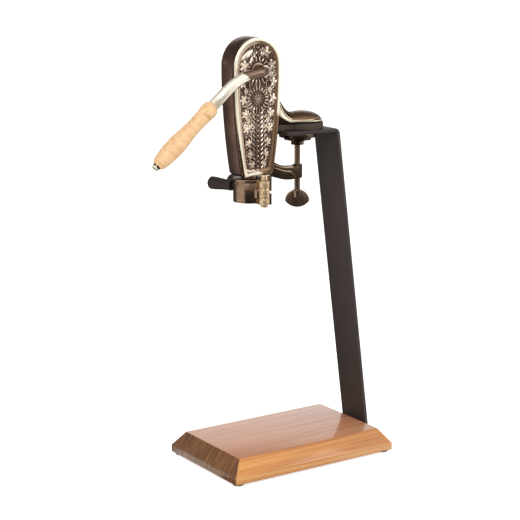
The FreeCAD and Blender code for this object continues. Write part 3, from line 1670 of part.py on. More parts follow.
def make_screw():
    cup_top = shelf_low - d.cup_gap
    step_low = cup_top - d.cup_rim - d.cup_step
    hub_low = step_low - d.cup_hub
    socket_top = hub_low + d.cup_socket
    cup = lathe(
        "cup_turned",
        [
            (ZERO, cup_top),
            (ZERO, socket_top),
            (d.clamp_screw_radius + d.running_gap, socket_top),
            (d.clamp_screw_radius + d.running_gap, hub_low),
            (d.cup_hub_radius, hub_low),
            (d.cup_hub_radius, step_low),
            (d.cup_step_radius, step_low),
            (d.cup_step_radius, step_low + d.cup_step),
            (d.cup_radius, step_low + d.cup_step),
            (d.cup_radius, cup_top),
        ],
        d.screw_x,
        ZERO,
    )
    retainer_z = hub_low + d.cup_hub / 2
    retainer_bore = rod(
        "retainer_bore",
        d.retainer_radius + d.seat_gap,
        "Y",
        -d.cup_hub_radius - d.overrun,
        -d.clamp_screw_radius - d.running_gap,
        (d.screw_x, retainer_z),
    )
    keep(cut("cup_cut", cup, retainer_bore), "pressure_cup")
    pin_end = -d.clamp_screw_radius - d.running_gap
    head = cone(
        "retainer_head",
        d.retainer_head_radius * NUT_DOME_SHARE,
        d.retainer_head_radius,
        "Y",
        -d.cup_hub_radius - d.retainer_head_radius,
        -d.cup_hub_radius,
        (d.screw_x, retainer_z),
    )
    pin = rod(
        "retainer_shank",
        d.retainer_radius,
        "Y",
        -d.cup_hub_radius - d.retainer_head_radius,
        pin_end,
        (d.screw_x, retainer_z),
    )
    keep(fuse("retainer_whole", head, pin), "cup_retainer")

    screw_top = socket_top - d.cup_gap
    keep(
        rod("screw_rod", d.clamp_screw_radius, "Z", d.clamp_screw_low_z, screw_top, (d.screw_x, ZERO)),
        "clamp_screw",
    )
    # The knob is shaped about its own axis, then turned and set on the screw.
    fan = plate(
        "knob_fan",
        "XZ",
        [
            (-d.knob_neck_half_width, d.knob_top_z),
            ("arc", -d.knob_flank_x, d.knob_flank_z, -d.knob_half_width, d.knob_wing_low_z),
            ("arc", ZERO, d.knob_low_z, d.knob_half_width, d.knob_wing_low_z),
            ("arc", d.knob_flank_x, d.knob_flank_z, d.knob_neck_half_width, d.knob_top_z),
        ],
        -d.knob_thickness / 2,
        d.knob_thickness / 2,
    )
    hub = cone(
        "knob_hub",
        d.knob_hub_radius * NUT_DOME_SHARE,
        d.knob_hub_radius,
        "Z",
        d.knob_wing_z,
        d.knob_top_z + d.boss_edge,
        (ZERO, ZERO),
    )
    hole = rod(
        "knob_hole",
        d.clamp_screw_radius + d.seat_gap,
        "Z",
        d.clamp_screw_low_z - d.seat_gap,
        d.knob_top_z + d.overrun,
        (ZERO, ZERO),
    )
    knob = cut("knob_cut", fuse("knob_whole", fan, hub), hole)
    doc.recompute()
    turned = solid_of("knob_turned", knob.Shape)
    turned.Placement = FreeCAD.Placement(
        VECTOR(float(d.screw_x), 0, 0), FreeCAD.Rotation(VECTOR(0, 0, 1), float(d.knob_turn)))
    keep(turned, "wing_knob")


make_base()
make_upright()
make_housing()
make_shaft()
make_crank()
make_gears()
make_carriage()
make_worm()
make_nut()
make_collar()
make_clamp()
make_screw()

# Every piece moves along X into the object's frame.
doc.recompute()
for piece in PIECES:
    bind(piece, "Placement.Base.x", as_size(piece.Placement.Base.x) + d.frame_shift)
doc.recompute()

failed = [thing.Label for thing in doc.Objects if {"Invalid", "Error"} & set(thing.State)]
if failed:
    raise ValueError(f"objects in error: {failed}")
for piece in PIECES:
    if piece.Shape.isNull() or not piece.Shape.isValid():
        raise ValueError(f"{piece.Label} has no valid shape")

os.makedirs("parts", exist_ok=True)
for piece in PIECES:
    piece.Shape.exportStep(f"parts/{piece.Label}.step")
print(f"{len(PIECES)} pieces")
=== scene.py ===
"""The looks of a crank cork puller, clamped to the shelf of its wood and steel stand."""

import json
import math
import random

import bpy
from mathutils import Matrix, Vector


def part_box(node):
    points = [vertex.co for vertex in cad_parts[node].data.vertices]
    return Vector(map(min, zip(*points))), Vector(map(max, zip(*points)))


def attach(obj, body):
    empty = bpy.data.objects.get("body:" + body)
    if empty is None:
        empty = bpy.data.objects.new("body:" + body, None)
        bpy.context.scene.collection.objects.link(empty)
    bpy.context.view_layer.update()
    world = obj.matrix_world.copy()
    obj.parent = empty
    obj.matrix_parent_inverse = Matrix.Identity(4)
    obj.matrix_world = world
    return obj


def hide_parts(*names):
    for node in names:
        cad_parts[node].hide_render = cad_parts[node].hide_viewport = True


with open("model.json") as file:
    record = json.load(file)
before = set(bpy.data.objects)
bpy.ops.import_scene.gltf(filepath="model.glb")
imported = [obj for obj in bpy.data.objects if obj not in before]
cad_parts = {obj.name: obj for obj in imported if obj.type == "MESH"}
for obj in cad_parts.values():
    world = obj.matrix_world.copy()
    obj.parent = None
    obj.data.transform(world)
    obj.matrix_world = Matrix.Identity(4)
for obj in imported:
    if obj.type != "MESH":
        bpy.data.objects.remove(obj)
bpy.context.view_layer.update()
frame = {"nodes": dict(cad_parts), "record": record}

MM = 0.001
SMOOTH_ANGLE = math.radians(38)


def rgb(red, green, blue):
    """A colour given as screen values, in the linear numbers that shaders take."""
    def linear(value):
        share = value / 255
        return share / 12.92 if share <= 0.04045 else ((share + 0.055) / 1.055) ** 2.4
    return (linear(red), linear(green), linear(blue), 1.0)


# Shader maths: numbers that are sockets, with the usual operators.
class Shade:
    """A socket of a finish's node tree that takes part in arithmetic."""

    def __init__(self, finish, socket):
        self.finish = finish
        self.socket = socket

    def maths(self, operation, *values):
        return self.finish.node("ShaderNodeMath", {"operation": operation}, dict(enumerate(values)))

    def between(self, low, high):
        """0 at low, 1 at high, smooth between them."""
        return self.finish.node(
            "ShaderNodeMapRange",
            {"interpolation_type": "SMOOTHSTEP"},
            {"Value": self, "From Min": low, "From Max": high},
        )

    def size(self):
        return self.maths("ABSOLUTE", self)

    def most(self, other):
        return self.maths("MAXIMUM", self, other)


def operator(operation, swapped=False):
    """The method behind an operator's sign: it adds one Math node."""
    def apply(self, other):
        return self.maths(operation, *((other, self) if swapped else (self, other)))
    return apply


Shade.__add__ = operator("ADD")
Shade.__radd__ = operator("ADD", swapped=True)
Shade.__sub__ = operator("SUBTRACT")
Shade.__rsub__ = operator("SUBTRACT", swapped=True)
Shade.__mul__ = operator("MULTIPLY")
Shade.__rmul__ = operator("MULTIPLY", swapped=True)
Shade.__truediv__ = operator("DIVIDE")
Shade.__pow__ = operator("POWER")


class Finish:
    """One finish: a Principled shader and the nodes that feed it."""

    def __init__(self, name, **constants):
        self.material = bpy.data.materials.new(name)
        self.material.use_nodes = True
        self.tree = self.material.node_tree
        self.shader = self.tree.nodes["Principled BSDF"]
        for socket, value in constants.items():
            self.shader.inputs[socket.replace("_", " ")].default_value = value
        self.place = self.node("ShaderNodeTexCoord", {}, {}, "Object")

    def node(self, kind, settings, inputs, output=0):
        made = self.tree.nodes.new(kind)
        for name, value in settings.items():
            if name == "stops":
                self.set_stops(made.color_ramp, value)
            else:
                setattr(made, name, value)
        for name, value in inputs.items():
            self.feed(made.inputs[name], value)
        return Shade(self, made.outputs[output])

    def set_stops(self, ramp, stops):
        while len(ramp.elements) < len(stops):
            ramp.elements.new(0.5)
        for element, (position, colour) in zip(ramp.elements, stops):
            element.position = position
            element.color = colour

    def feed(self, socket, value):
        if isinstance(value, Shade):
            self.tree.links.new(value.socket, socket)
        else:
            socket.default_value = value

    def wear(self, **inputs):
        """Feed the shader's own sockets."""
        for name, value in inputs.items():
            self.feed(self.shader.inputs[name.replace("_", " ")], value)
        return self

    def axes(self):
        split = self.node("ShaderNodeSeparateXYZ", {}, {"Vector": self.place})
        nodes = split.socket.node
        return [Shade(self, nodes.outputs[axis]) for axis in ("X", "Y", "Z")]

    def facing(self):
        """How far the surface faces each axis."""
        normal = self.node("ShaderNodeNewGeometry", {}, {}, "Normal")
        split = self.node("ShaderNodeSeparateXYZ", {}, {"Vector": normal}).socket.node
        return [Shade(self, split.outputs[axis]) for axis in ("X", "Y", "Z")]

    def scaled(self, vector, scale):
        return self.node("ShaderNodeVectorMath", {"operation": "MULTIPLY"}, {0: vector, 1: scale})

    def stretched(self, *scale):
        return self.scaled(self.place, scale)

    def noise(self, scale, detail=3.0, roughness=0.5, vector=None, distortion=0.0):
        return self.node(
            "ShaderNodeTexNoise",
            {},
            {
                "Vector": vector or self.place,
                "Scale": scale,
                "Detail": detail,
                "Roughness": roughness,
                "Distortion": distortion,
            },
        )

    def mix(self, low, high, share):
        """The colour low where share is 0 and high where it is 1."""
        made = self.node("ShaderNodeMix", {"data_type": "RGBA"}, {0: share, 6: low, 7: high}, 2)
        return made

    def ramp(self, share, *stops):
        return self.node("ShaderNodeValToRGB", {"stops": stops}, {"Fac": share})

    def bump(self, height, distance, strength=1.0):
        return self.node(
            "ShaderNodeBump", {}, {"Height": height, "Distance": distance, "Strength": strength}
        )


# Finishes.
BRONZE_DARK = rgb(96, 72, 62)
BRONZE_LIGHT = rgb(158, 128, 112)
# Below this height the rim's right side takes a painted dark reflection.
RIM_DARK_REFLECTION_BELOW = 0.492
CARVING_DARKER_BELOW = 0.450


def varnished_oak():
    """Straight-grained oak under clear varnish, with its rings showing on the ends."""
    oak = Finish("varnished_oak", Coat_Weight=0.75, Coat_Roughness=0.10)
    sway = oak.noise(1.0, 2.0, vector=oak.stretched(6.0, 40.0, 40.0))
    bands = oak.noise(1.0, 3.0, 0.5, oak.stretched(3.2, 120.0, 260.0), 0.6)
    streaks = oak.noise(1.0, 4.0, 0.6, oak.stretched(6.0, 420.0, 520.0))
    fine = oak.noise(1.0, 3.0, 0.6, oak.stretched(40.0, 2200.0, 2200.0))
    pores = fine.between(0.58, 0.72)
    face_x, face_y = oak.facing()[:2]
    end = face_x.size().between(0.45, 0.75)
    side = face_y.size().between(0.30, 0.60)
    # Painted light: the upright band at the board's foot takes a paler tone, as if lit by the white
    # floor.
    upright = side * face_y.size().between(0.86, 0.96)
    # Painted shade: the side faces are mixed towards a darker tone towards +X.
    side_shade = side * oak.axes()[0].between(-0.06, 0.17) * 0.34
    share = bands * 0.62 + streaks * 0.28 + sway * 0.10
    top_tone = oak.ramp(
        share,
        (0.34, rgb(196, 140, 106)),
        (0.50, rgb(188, 128, 92)),
        (0.64, rgb(172, 110, 74)),
    )
    side_tone = oak.ramp(
        share,
        (0.34, rgb(226, 162, 86)),
        (0.46, rgb(210, 142, 66)),
        (0.56, rgb(192, 120, 46)),
        (0.66, rgb(150, 86, 28)),
    )
    # Painted light from the floor: the upright band's paler tone.
    floor_lit_tone = oak.ramp(
        share,
        (0.34, rgb(228, 176, 116)),
        (0.50, rgb(214, 154, 94)),
        (0.66, rgb(186, 122, 66)),
    )
    lines = oak.noise(1.0, 4.0, 0.6, oak.stretched(30.0, 300.0, 24.0))
    end_tone = oak.ramp(
        lines,
        (0.30, rgb(146, 98, 54)),
        (0.50, rgb(114, 72, 36)),
        (0.70, rgb(80, 46, 20)),
    )
    tone = oak.mix(oak.mix(oak.mix(top_tone, side_tone, side), floor_lit_tone, upright), end_tone, end)
    dark = oak.mix(oak.mix(tone, rgb(170, 104, 44), side_shade), rgb(110, 68, 34), pores * 0.22)
    return oak.wear(
        Base_Color=dark,
        Roughness=0.42 + streaks * 0.12,
        Normal=oak.bump(streaks * 0.4 - pores * 0.5, 0.00006, 0.4),
    )


def oiled_beech():
    """Pale turned wood whose faint grain runs along the crank's grip."""
    wood = Finish("oiled_beech", Coat_Weight=0.10, Coat_Roughness=0.3)
    # The grip falls forty degrees towards -X, so its grain is read in turned coordinates.
    turned = wood.node(
        "ShaderNodeMapping",
        {},
        {"Vector": wood.place, "Rotation": (0.0, -math.radians(40), 0.0)},
    )
    streaks = wood.noise(1.0, 3.0, 0.5, wood.scaled(turned, (9.0, 240.0, 240.0)))
    flecks = wood.noise(1.0, 2.0, 0.5, wood.scaled(turned, (160.0, 1500.0, 1500.0)))
    flecks = flecks.between(0.62, 0.72)
    tone = wood.ramp(
        streaks,
        (0.30, rgb(234, 196, 150)),
        (0.52, rgb(226, 184, 136)),
        (0.70, rgb(208, 160, 112)),
    )
    return wood.wear(
        Base_Color=wood.mix(tone, rgb(190, 140, 96), flecks * 0.22),
        Roughness=0.42 + streaks * 0.15,
        Normal=wood.bump(streaks, 0.00004, 0.3),
    )


def black_powder_coat():
    """Matt brown-black coating with its fine orange peel."""
    coat = Finish("black_powder_coat", Specular_IOR_Level=0.5)
    grain = coat.noise(1600.0, 2.0)
    cloud = coat.noise(18.0, 3.0)
    tone = coat.mix(rgb(46, 36, 33), rgb(58, 48, 44), cloud)
    return coat.wear(
        Base_Color=coat.mix(tone, rgb(70, 60, 56), grain.between(0.55, 0.8) * 0.2),
        Roughness=0.42 + grain * 0.16,
        Normal=coat.bump(grain, 0.00006, 0.35),
    )


def antique_bronze(name="antique_bronze", dark=BRONZE_DARK, light=BRONZE_LIGHT, rough=0.26):
    """Brown plated metal, cloudy, with paler worn places."""
    metal = Finish(name, Specular_IOR_Level=0.6)
    cloud = metal.noise(24.0, 3.0, 0.5)
    brush = metal.noise(1.0, 3.0, 0.6, metal.stretched(420.0, 420.0, 60.0))
    tone = metal.mix(dark, light, cloud.between(0.32, 0.78) * 0.5 + brush * 0.15)
    return metal.wear(
        Base_Color=tone,
        Metallic=1.0 - cloud * 0.10,
        Roughness=rough + brush * 0.10,
        Normal=metal.bump(brush, 0.00002, 0.2),
    )


def casting_face():
    """The front casting: a polished rim with painted highlight and shade, a brown side and a dark
    field behind the carving.
    """
    metal = Finish("casting_face")
    x, y, z = metal.axes()
    rim = (y * -1.0).between(-FIELD_Y + 0.0002, -FIELD_Y + 0.0010)
    # Painted reflection: low on its right, the rim turns dark brown and keeps its metallic.
    low = (z * -1.0).between(-RIM_DARK_REFLECTION_BELOW - 0.008, -RIM_DARK_REFLECTION_BELOW)
    rim_dark_reflection = (x - CRANK_X).between(0.002, 0.010) * low
    # Painted shade: a dark line along the rim's outer edge, widening towards the foot.
    fall = (z * -1.0 + CROWN_Z) / (CROWN_Z - front_low.z - 0.004)
    edge = fall * -0.0125 + fall * (1.0 - fall) * 0.0126 + CROWN_R
    inset = edge - (x - CRANK_X).size()
    shade_width = fall.between(0.42, 1.0) * 0.0034
    outer = 1.0 - (inset - shade_width).between(-0.0004, 0.0004)
    outer = outer * (x * -1.0).between(-CRANK_X, -CRANK_X + 0.006)
    side_face = metal.facing()[1].size().between(0.25, 0.75)
    cloud = metal.noise(38.0, 4.0, 0.55)
    stipple = metal.noise(1500.0, 2.0)
    brown = metal.mix(BRONZE_DARK, BRONZE_LIGHT, cloud.between(0.32, 0.78) * 0.5)
    field = metal.mix(rgb(84, 66, 56), rgb(136, 110, 96), stipple.between(0.35, 0.75))
    # Polished rim: its near-white colour and its lowered metallic are a painted highlight.
    polished = metal.mix(rgb(252, 238, 206), rgb(255, 250, 232), cloud)
    gold = metal.mix(metal.mix(polished, rgb(140, 112, 88), rim_dark_reflection), rgb(126, 104, 74), outer)
    base = metal.mix(brown, field, side_face)
    return metal.wear(
        Base_Color=metal.mix(base, gold, rim),
        Metallic=1.0 - cloud * 0.05 - rim * (1.0 - rim_dark_reflection.most(outer)) * 0.62,
        Roughness=0.30 + stipple * 0.12 * (1 - rim) - rim * 0.04,
        Normal=metal.bump(stipple * (1 - rim) * side_face, 0.0001, 0.4),
    )


def carved_bronze(
    name="carved_bronze",
    hollow=rgb(98, 78, 66),
    middle=rgb(164, 138, 122),
    crest=rgb(255, 240, 220),
):
    """The carving: dark patina in the hollows, worn pale bronze on the high places."""
    metal = Finish(name)
    x, y, z = metal.axes()
    high = (y * -1.0).between(-FIELD_Y + 0.0003, -FIELD_Y + 0.0019)
    wear_and_glint = metal.noise(150.0, 3.0)
    fine = metal.noise(900.0, 2.0)
    shaded = (x - CRANK_X).between(-0.002, 0.010) * z.between(CRANK_Z - 0.012, CRANK_Z + 0.008)
    # The carving is darker towards its foot.
    foot = (z * -1.0).between(-CARVING_DARKER_BELOW - 0.035, -CARVING_DARKER_BELOW) * 0.24
    share = (high * 0.85 + wear_and_glint * 0.40 - 0.12 - shaded * 0.34 - foot).between(0.0, 1.0)
    tone = metal.ramp(share, (0.10, hollow), (0.45, middle), (0.90, crest))
    return metal.wear(
        Base_Color=tone,
        Metallic=0.66 + fine * 0.05,
        Roughness=0.34 - high * 0.10 + fine * 0.08,
        Normal=metal.bump(fine, 0.00004, 0.3),
    )


def moulding_metal():
    """The smooth band inside the rim: brown on the clamp's side, pale on the crank grip's side,
    where the paleness is painted light.
    """
    metal = Finish("moulding_metal")
    x, y, z = metal.axes()
    cloud = metal.noise(60.0, 4.0, 0.55)
    pale = metal.mix(rgb(176, 152, 134), rgb(214, 192, 172), cloud)
    brown = metal.mix(rgb(122, 92, 66), rgb(164, 130, 100), cloud)
    return metal.wear(
        # Painted light: the -X side is mixed towards the pale tone.
        Base_Color=metal.mix(pale, brown, (x - CRANK_X).between(-0.006, 0.006)),
        Metallic=0.55 + cloud * 0.1,
        Roughness=0.26 + cloud * 0.10,
    )


def collar_metal():
    """The collar's brown bronze, with a painted highlight that makes the hinge's barrel paler and
    painted shade that makes its lug and its upward faces nearly black.
    """
    metal = Finish("collar_metal")
    x, y, z = metal.axes()
    cloud = metal.noise(60.0, 4.0, 0.55)
    brush = metal.noise(1.0, 3.0, 0.6, metal.stretched(60.0, 60.0, 900.0))
    off_hinge = ((x - HINGE_X) * (x - HINGE_X) + (y - HINGE_Y) * (y - HINGE_Y)) ** 0.5
    # Painted highlight: the hinge's barrel takes a paler tone and less metallic.
    barrel = 1.0 - off_hinge.between(0.0080, 0.0092)
    # Painted shade: the lug, and the upward faces found below, turn nearly black.
    lug = x.between(HINGE_X + 0.0125, HINGE_X + 0.0145)
    share = cloud.between(0.30, 0.72) * 0.5 + brush * 0.2
    brown = metal.mix(rgb(140, 112, 92), rgb(180, 152, 128), share)
    pale = metal.mix(rgb(206, 176, 136), rgb(232, 206, 168), share)
    # Painted shade on the upward faces, which are rougher too.
    level = metal.facing()[2].size().between(0.6, 0.9)
    tone = metal.mix(metal.mix(brown, pale, barrel), rgb(74, 60, 50), lug.most(level))
    return metal.wear(
        Base_Color=tone,
        Metallic=1.0 - cloud * 0.06 - barrel * 0.28,
        Roughness=0.16 + brush * 0.08 + level * 0.25 + barrel * 0.04,
        Normal=metal.bump(brush, 0.00002, 0.25),
    )


def crank_metal():
    """The crank's rod: a painted reflection, brown at the elbow and pale gold past the bend's
    start.
    """
    metal = Finish("crank_metal")
    x, y, z = metal.axes()
    # Painted reflection: past the bend's start the rod turns pale gold and less metallic.
    gold = (x * -1.0 - (z - CRANK_Z) * 1.1).between(-CRANK_X + 0.036, -CRANK_X + 0.041)
    # Painted shade: the pale gold darkens at the rod's grazing edges.
    edge = metal.node("ShaderNodeLayerWeight", {}, {"Blend": 0.5}, 1).between(0.50, 0.78)
    off_shaft = ((x - CRANK_X) * (x - CRANK_X) + (z - CRANK_Z) * (z - CRANK_Z)) ** 0.5
    # Painted highlight: a pale ring round the hub's edge.
    hub_highlight = off_shaft.between(0.0062, 0.0068) * (1.0 - off_shaft.between(0.0088, 0.0094))
    hub_highlight = hub_highlight * (y * -1.0).between(0.0320, 0.0336) * (x - CRANK_X).between(-0.003, 0.0)
    # Painted shade: a dark disc at the shaft's end stands for the darkness of a hole.
    shaft_hole_shade = (1.0 - off_shaft.between(0.0026, 0.0033)) * (y * -1.0).between(0.036, 0.038)
    cloud = metal.noise(70.0, 4.0, 0.55)
    brown = metal.mix(rgb(104, 82, 70), rgb(152, 126, 110), cloud)
    bright = metal.mix(rgb(250, 238, 212), rgb(255, 250, 236), cloud)
    tone = metal.mix(brown, metal.mix(bright, rgb(96, 74, 56), edge * gold), gold.most(hub_highlight))
    return metal.wear(
        Base_Color=metal.mix(tone, rgb(34, 26, 22), shaft_hole_shade),
        Metallic=1.0 - cloud * 0.04 - gold.most(hub_highlight) * 0.42,
        Roughness=0.28 - gold * 0.04 + cloud * 0.06,
    )


def saddle_metal():
    """The clamp's upper jaw: a brown dome, a polished front edge made pale by painted highlight,
    and a dark foot under it.
    """
    metal = Finish("saddle_metal")
    x, y, z = metal.axes()
    cloud = metal.noise(50.0, 4.0, 0.55)
    # Painted highlight: faces towards -Y above the foot line turn pale gold and less metallic.
    front = (metal.facing()[1] * -1.0).between(0.12, 0.42)
    flat = 1.0 - metal.facing()[2].between(0.30, 0.55)
    foot = saddle_low.z + 0.0022 + (SWEEP_END_X - x).most(0.0) * 0.61
    above = (z - foot).between(-0.0003, 0.0005)
    low_half = (1.0 - above) * flat
    brown = metal.mix(rgb(96, 72, 54), rgb(146, 114, 88), cloud)
    gold = metal.mix(rgb(244, 226, 188), rgb(255, 248, 226), cloud)
    tone = metal.mix(metal.mix(brown, gold, front * flat * above), rgb(62, 50, 38), low_half)
    return metal.wear(
        Base_Color=tone,
        Metallic=1.0 - cloud * 0.05 - front * above * 0.12,
        Roughness=0.28 + cloud * 0.08,
    )


def black_rubber():
    rubber = Finish("black_rubber", Specular_IOR_Level=0.35)
    grain = rubber.noise(1400.0, 3.0)
    cloud = rubber.noise(40.0, 2.0)
    return rubber.wear(
        Base_Color=rubber.mix(rgb(50, 41, 33), rgb(76, 64, 53), cloud * 0.6 + grain * 0.4),
        Roughness=0.55 + grain * 0.2,
        Normal=rubber.bump(grain, 0.0001, 0.4),
    )


def moulded_grip():
    plastic = Finish("moulded_grip", Specular_IOR_Level=0.22)
    grain = plastic.noise(1100.0, 3.0)
    return plastic.wear(
        Base_Color=plastic.mix(rgb(40, 32, 30), rgb(58, 48, 45), grain),
        Roughness=0.46 + grain * 0.16,
        Normal=plastic.bump(grain, 0.00006, 0.35),
    )


def plain_steel():
    steel = Finish("plain_steel")
    brush = steel.noise(1.0, 3.0, 0.6, steel.stretched(90.0, 90.0, 1500.0))
    cloud = steel.noise(60.0, 3.0)
    return steel.wear(
        Base_Color=steel.mix(rgb(150, 146, 140), rgb(196, 192, 186), cloud * 0.6 + brush * 0.4),
        Metallic=1.0 - cloud * 0.03,
        Roughness=0.24 + brush * 0.16,
        Normal=steel.bump(brush, 0.00002, 0.3),
    )


# Making pieces.
def enter_edit():
    bpy.ops.object.mode_set(mode="EDIT")


def leave_edit():
    bpy.ops.object.mode_set(mode="OBJECT")


def take_all():
    bpy.ops.mesh.select_all(action="SELECT")


def take_none():
    bpy.ops.object.select_all(action="DESELECT")


def edit_all():
    enter_edit()
    take_all()


def resize(along_x, along_y):
    """Scale what is taken about the middle, in its own plane."""
    bpy.ops.transform.resize(value=(along_x, along_y, 1.0), center_override=(0.0, 0.0, 0.0))


def lift(height):
    bpy.ops.transform.translate(value=(0.0, 0.0, height))


def face_outwards():
    bpy.ops.mesh.normals_make_consistent(inside=False)


def only(piece):
    take_none()
    piece.select_set(True)
    bpy.context.view_layer.objects.active = piece


def settle(piece):
    """Put the piece's place into its mesh."""
    only(piece)
    bpy.ops.object.transform_apply(location=True, rotation=True, scale=True)
    return piece


def smooth(piece, angle=SMOOTH_ANGLE):
    only(piece)
    bpy.ops.object.shade_smooth_by_angle(angle=angle)
    return piece


def apply_all(piece):
    only(piece)
    for modifier in list(piece.modifiers):
        bpy.ops.object.modifier_apply(modifier=modifier.name)
    return piece


def body_of(node):
    for name, members in frame["record"]["behaviour"]["bodies"].items():
        if node in members:
            return name
    raise KeyError(node)


SLOTS = {row["node"]: row["material_slot"] for row in frame["record"]["subparts"]}


def dress(piece, finish, body, slot, *nodes):
    """Give a new piece its finish, its body and the nodes that it stands for."""
    piece.data.materials.clear()
    piece.data.materials.append(finish.material)
    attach(piece, body)
    if nodes:
        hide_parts(*nodes)
    return piece


def softened(node, finish, width, segments=3, angle=math.radians(30), level=math.radians(0.6)):
    """A copy of a node with rounded edges. Faces within the angle level become one."""
    piece = bpy.data.objects.new(f"{node}_finished", frame["nodes"][node].data.copy())
    bpy.context.scene.collection.objects.link(piece)
    only(piece)
    edit_all()
    bpy.ops.mesh.remove_doubles(threshold=0.000002)
    if width:
        bpy.ops.mesh.dissolve_limited(angle_limit=level)
    leave_edit()
    if width:
        edge = piece.modifiers.new("edge", "BEVEL")
        edge.width = width
        edge.segments = segments
        edge.limit_method = "ANGLE"
        edge.angle_limit = angle
        edge.use_clamp_overlap = True
        apply_all(piece)
    smooth(piece)
    return dress(piece, finish, body_of(node), SLOTS[node], node)


def paint(finish, *nodes):
    for node in nodes:
        thing = frame["nodes"][node]
        thing.data.materials.clear()
        thing.data.materials.append(finish.material)


def joined(name, pieces):
    take_none()
    for piece in pieces:
        piece.select_set(True)
    bpy.context.view_layer.objects.active = pieces[0]
    if len(pieces) > 1:
        bpy.ops.object.join()
    whole = bpy.context.view_layer.objects.active
    whole.name = name
    whole.data.name = name
    return whole


# Places taken from the frame.
front_low, front_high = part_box("housing_front")
shaft_low, shaft_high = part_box("crank_shaft")
saddle_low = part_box("clamp_saddle")[0]
pad_low, pad_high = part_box("saddle_pad")
hinge_low, hinge_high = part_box("hinge_pin")
CRANK_X = (shaft_low.x + shaft_high.x) / 2
CRANK_Z = (shaft_low.z + shaft_high.z) / 2
RIM_Y = front_low.y
FIELD_Y = RIM_Y + 1.8 * MM
CROWN_R = 38.0 * MM
CROWN_Z = front_high.z - CROWN_R
SADDLE_X = (pad_low.x + pad_high.x) / 2
SWEEP_END_X = pad_low.x - 5.0 * MM
ROD_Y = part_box("crank_arm")[0].y + 6.2 * MM
HINGE_X = (hinge_low.x + hinge_high.x) / 2
HINGE_Y = (hinge_low.y + hinge_high.y) / 2

oak = varnished_oak()
beech = oiled_beech()
coat = black_powder_coat()
bronze = antique_bronze()
dark_bronze = antique_bronze("dark_bronze", rgb(78, 62, 52), rgb(132, 108, 92), 0.20)
clamp_bronze = antique_bronze("clamp_bronze", rgb(150, 122, 100), rgb(216, 188, 160), 0.19)
# Painted highlight: the pale finish of the arm's raised lines.
painted_highlight_edge = antique_bronze("painted_highlight_edge", rgb(150, 126, 104), rgb(208, 184, 158), 0.24)
bush_bronze = antique_bronze("bush_bronze", rgb(156, 132, 114), rgb(206, 182, 160), 0.44)
clamp_dark = antique_bronze("clamp_dark", rgb(58, 46, 34), rgb(96, 78, 60), 0.30)
# Polished edge finish whose near-white colour is a painted highlight.
polished = antique_bronze("polish_and_highlight_edge", rgb(246, 230, 196), rgb(255, 250, 230), 0.22)
face = casting_face()
carved = carved_bronze()
carved_dark = carved_bronze("carved_dark", rgb(92, 74, 64), rgb(150, 126, 112), rgb(226, 200, 180))
# Painted highlight: the pale finish of the smooth leaves near the crown.
wear_and_glint = carved_bronze("glint_leaf", rgb(190, 168, 148), rgb(246, 230, 208), rgb(255, 248, 236))
moulding = moulding_metal()
brass = collar_metal()
crank_gold = crank_metal()
saddle = saddle_metal()
rubber = black_rubber()
moulded = moulded_grip()
steel = plain_steel()


# Carving. It is made lying in its own plane, then stood on the field.
RIM_INSIDE = 5.2 * MM
FIELD_MARGIN = 8.8 * MM
BOSS_CLEAR = 11.4 * MM
ROSETTE_Z = CRANK_Z - 39 * MM
ROSETTE_R = 10.0 * MM
BAND_TOP_Z = ROSETTE_Z - 14 * MM
BAND_LOW_Z = front_low.z + 12 * MM
BAND_HALF = 3.2 * MM
CLUSTERS = (
    (20.5, 551.5, 0.85),
    (19.5, 530.0, 0.85),
    (16.0, 489.5, 0.80),
)


def field_half_width(z, margin=FIELD_MARGIN):
    """Half the carved field's width at a height, that far inside the casting's edge."""
    if z > CROWN_Z:
        reach = CROWN_R - margin
        rise = min(z - CROWN_Z, reach)
        return math.sqrt(reach * reach - rise * rise)
    foot_z = front_low.z + 4 * MM
    share = (CROWN_Z - z) / (CROWN_Z - foot_z)
    straight = CROWN_R + (25.5 * MM - CROWN_R) * share
    bow = 4 * 3.15 * MM * share * (1 - share)
    return straight + bow - margin


def stand_up(piece, x, z, turn, scale, depth):
    """Lay a flat carving's plane on the field at x, z, turned, its face towards -Y."""
    turned = Matrix.Rotation(turn, 4, "Z")
    size = Matrix.Diagonal((scale, scale, depth, 1.0))
    upright = Matrix.Rotation(math.radians(90), 4, "X")
    place = Matrix.Translation((CRANK_X + x, FIELD_Y, z))
    piece.data.transform(place @ upright @ turned @ size)
    return piece


def pick(piece, test):
    """In edit mode, take the vertices whose place passes the test."""
    leave_edit()
    for part in (piece.data.polygons, piece.data.edges):
        for one in part:
            one.select = False
    for vertex in piece.data.vertices:
        vertex.select = test(vertex.co)
    enter_edit()


def heading(place):
    """The angle of a place from the leaf's tip, in turns."""
    return abs(math.atan2(place.x, place.y)) / (2 * math.pi)


def near(value, *places, within=0.012):
    return any(abs(value - place) < within for place in places)


def new_disc(vertices):
    take_none()
    bpy.ops.mesh.primitive_circle_add(vertices=vertices, radius=1.0)
    disc = bpy.context.object
    enter_edit()
    bpy.ops.mesh.select_mode(type="VERT")
    take_all()
    return disc


def step_in(share, rise):
    """Extrude the open edge inwards by a share of its size, and up."""
    bpy.ops.mesh.extrude_edges_move()
    resize(share, share)
    lift(rise)


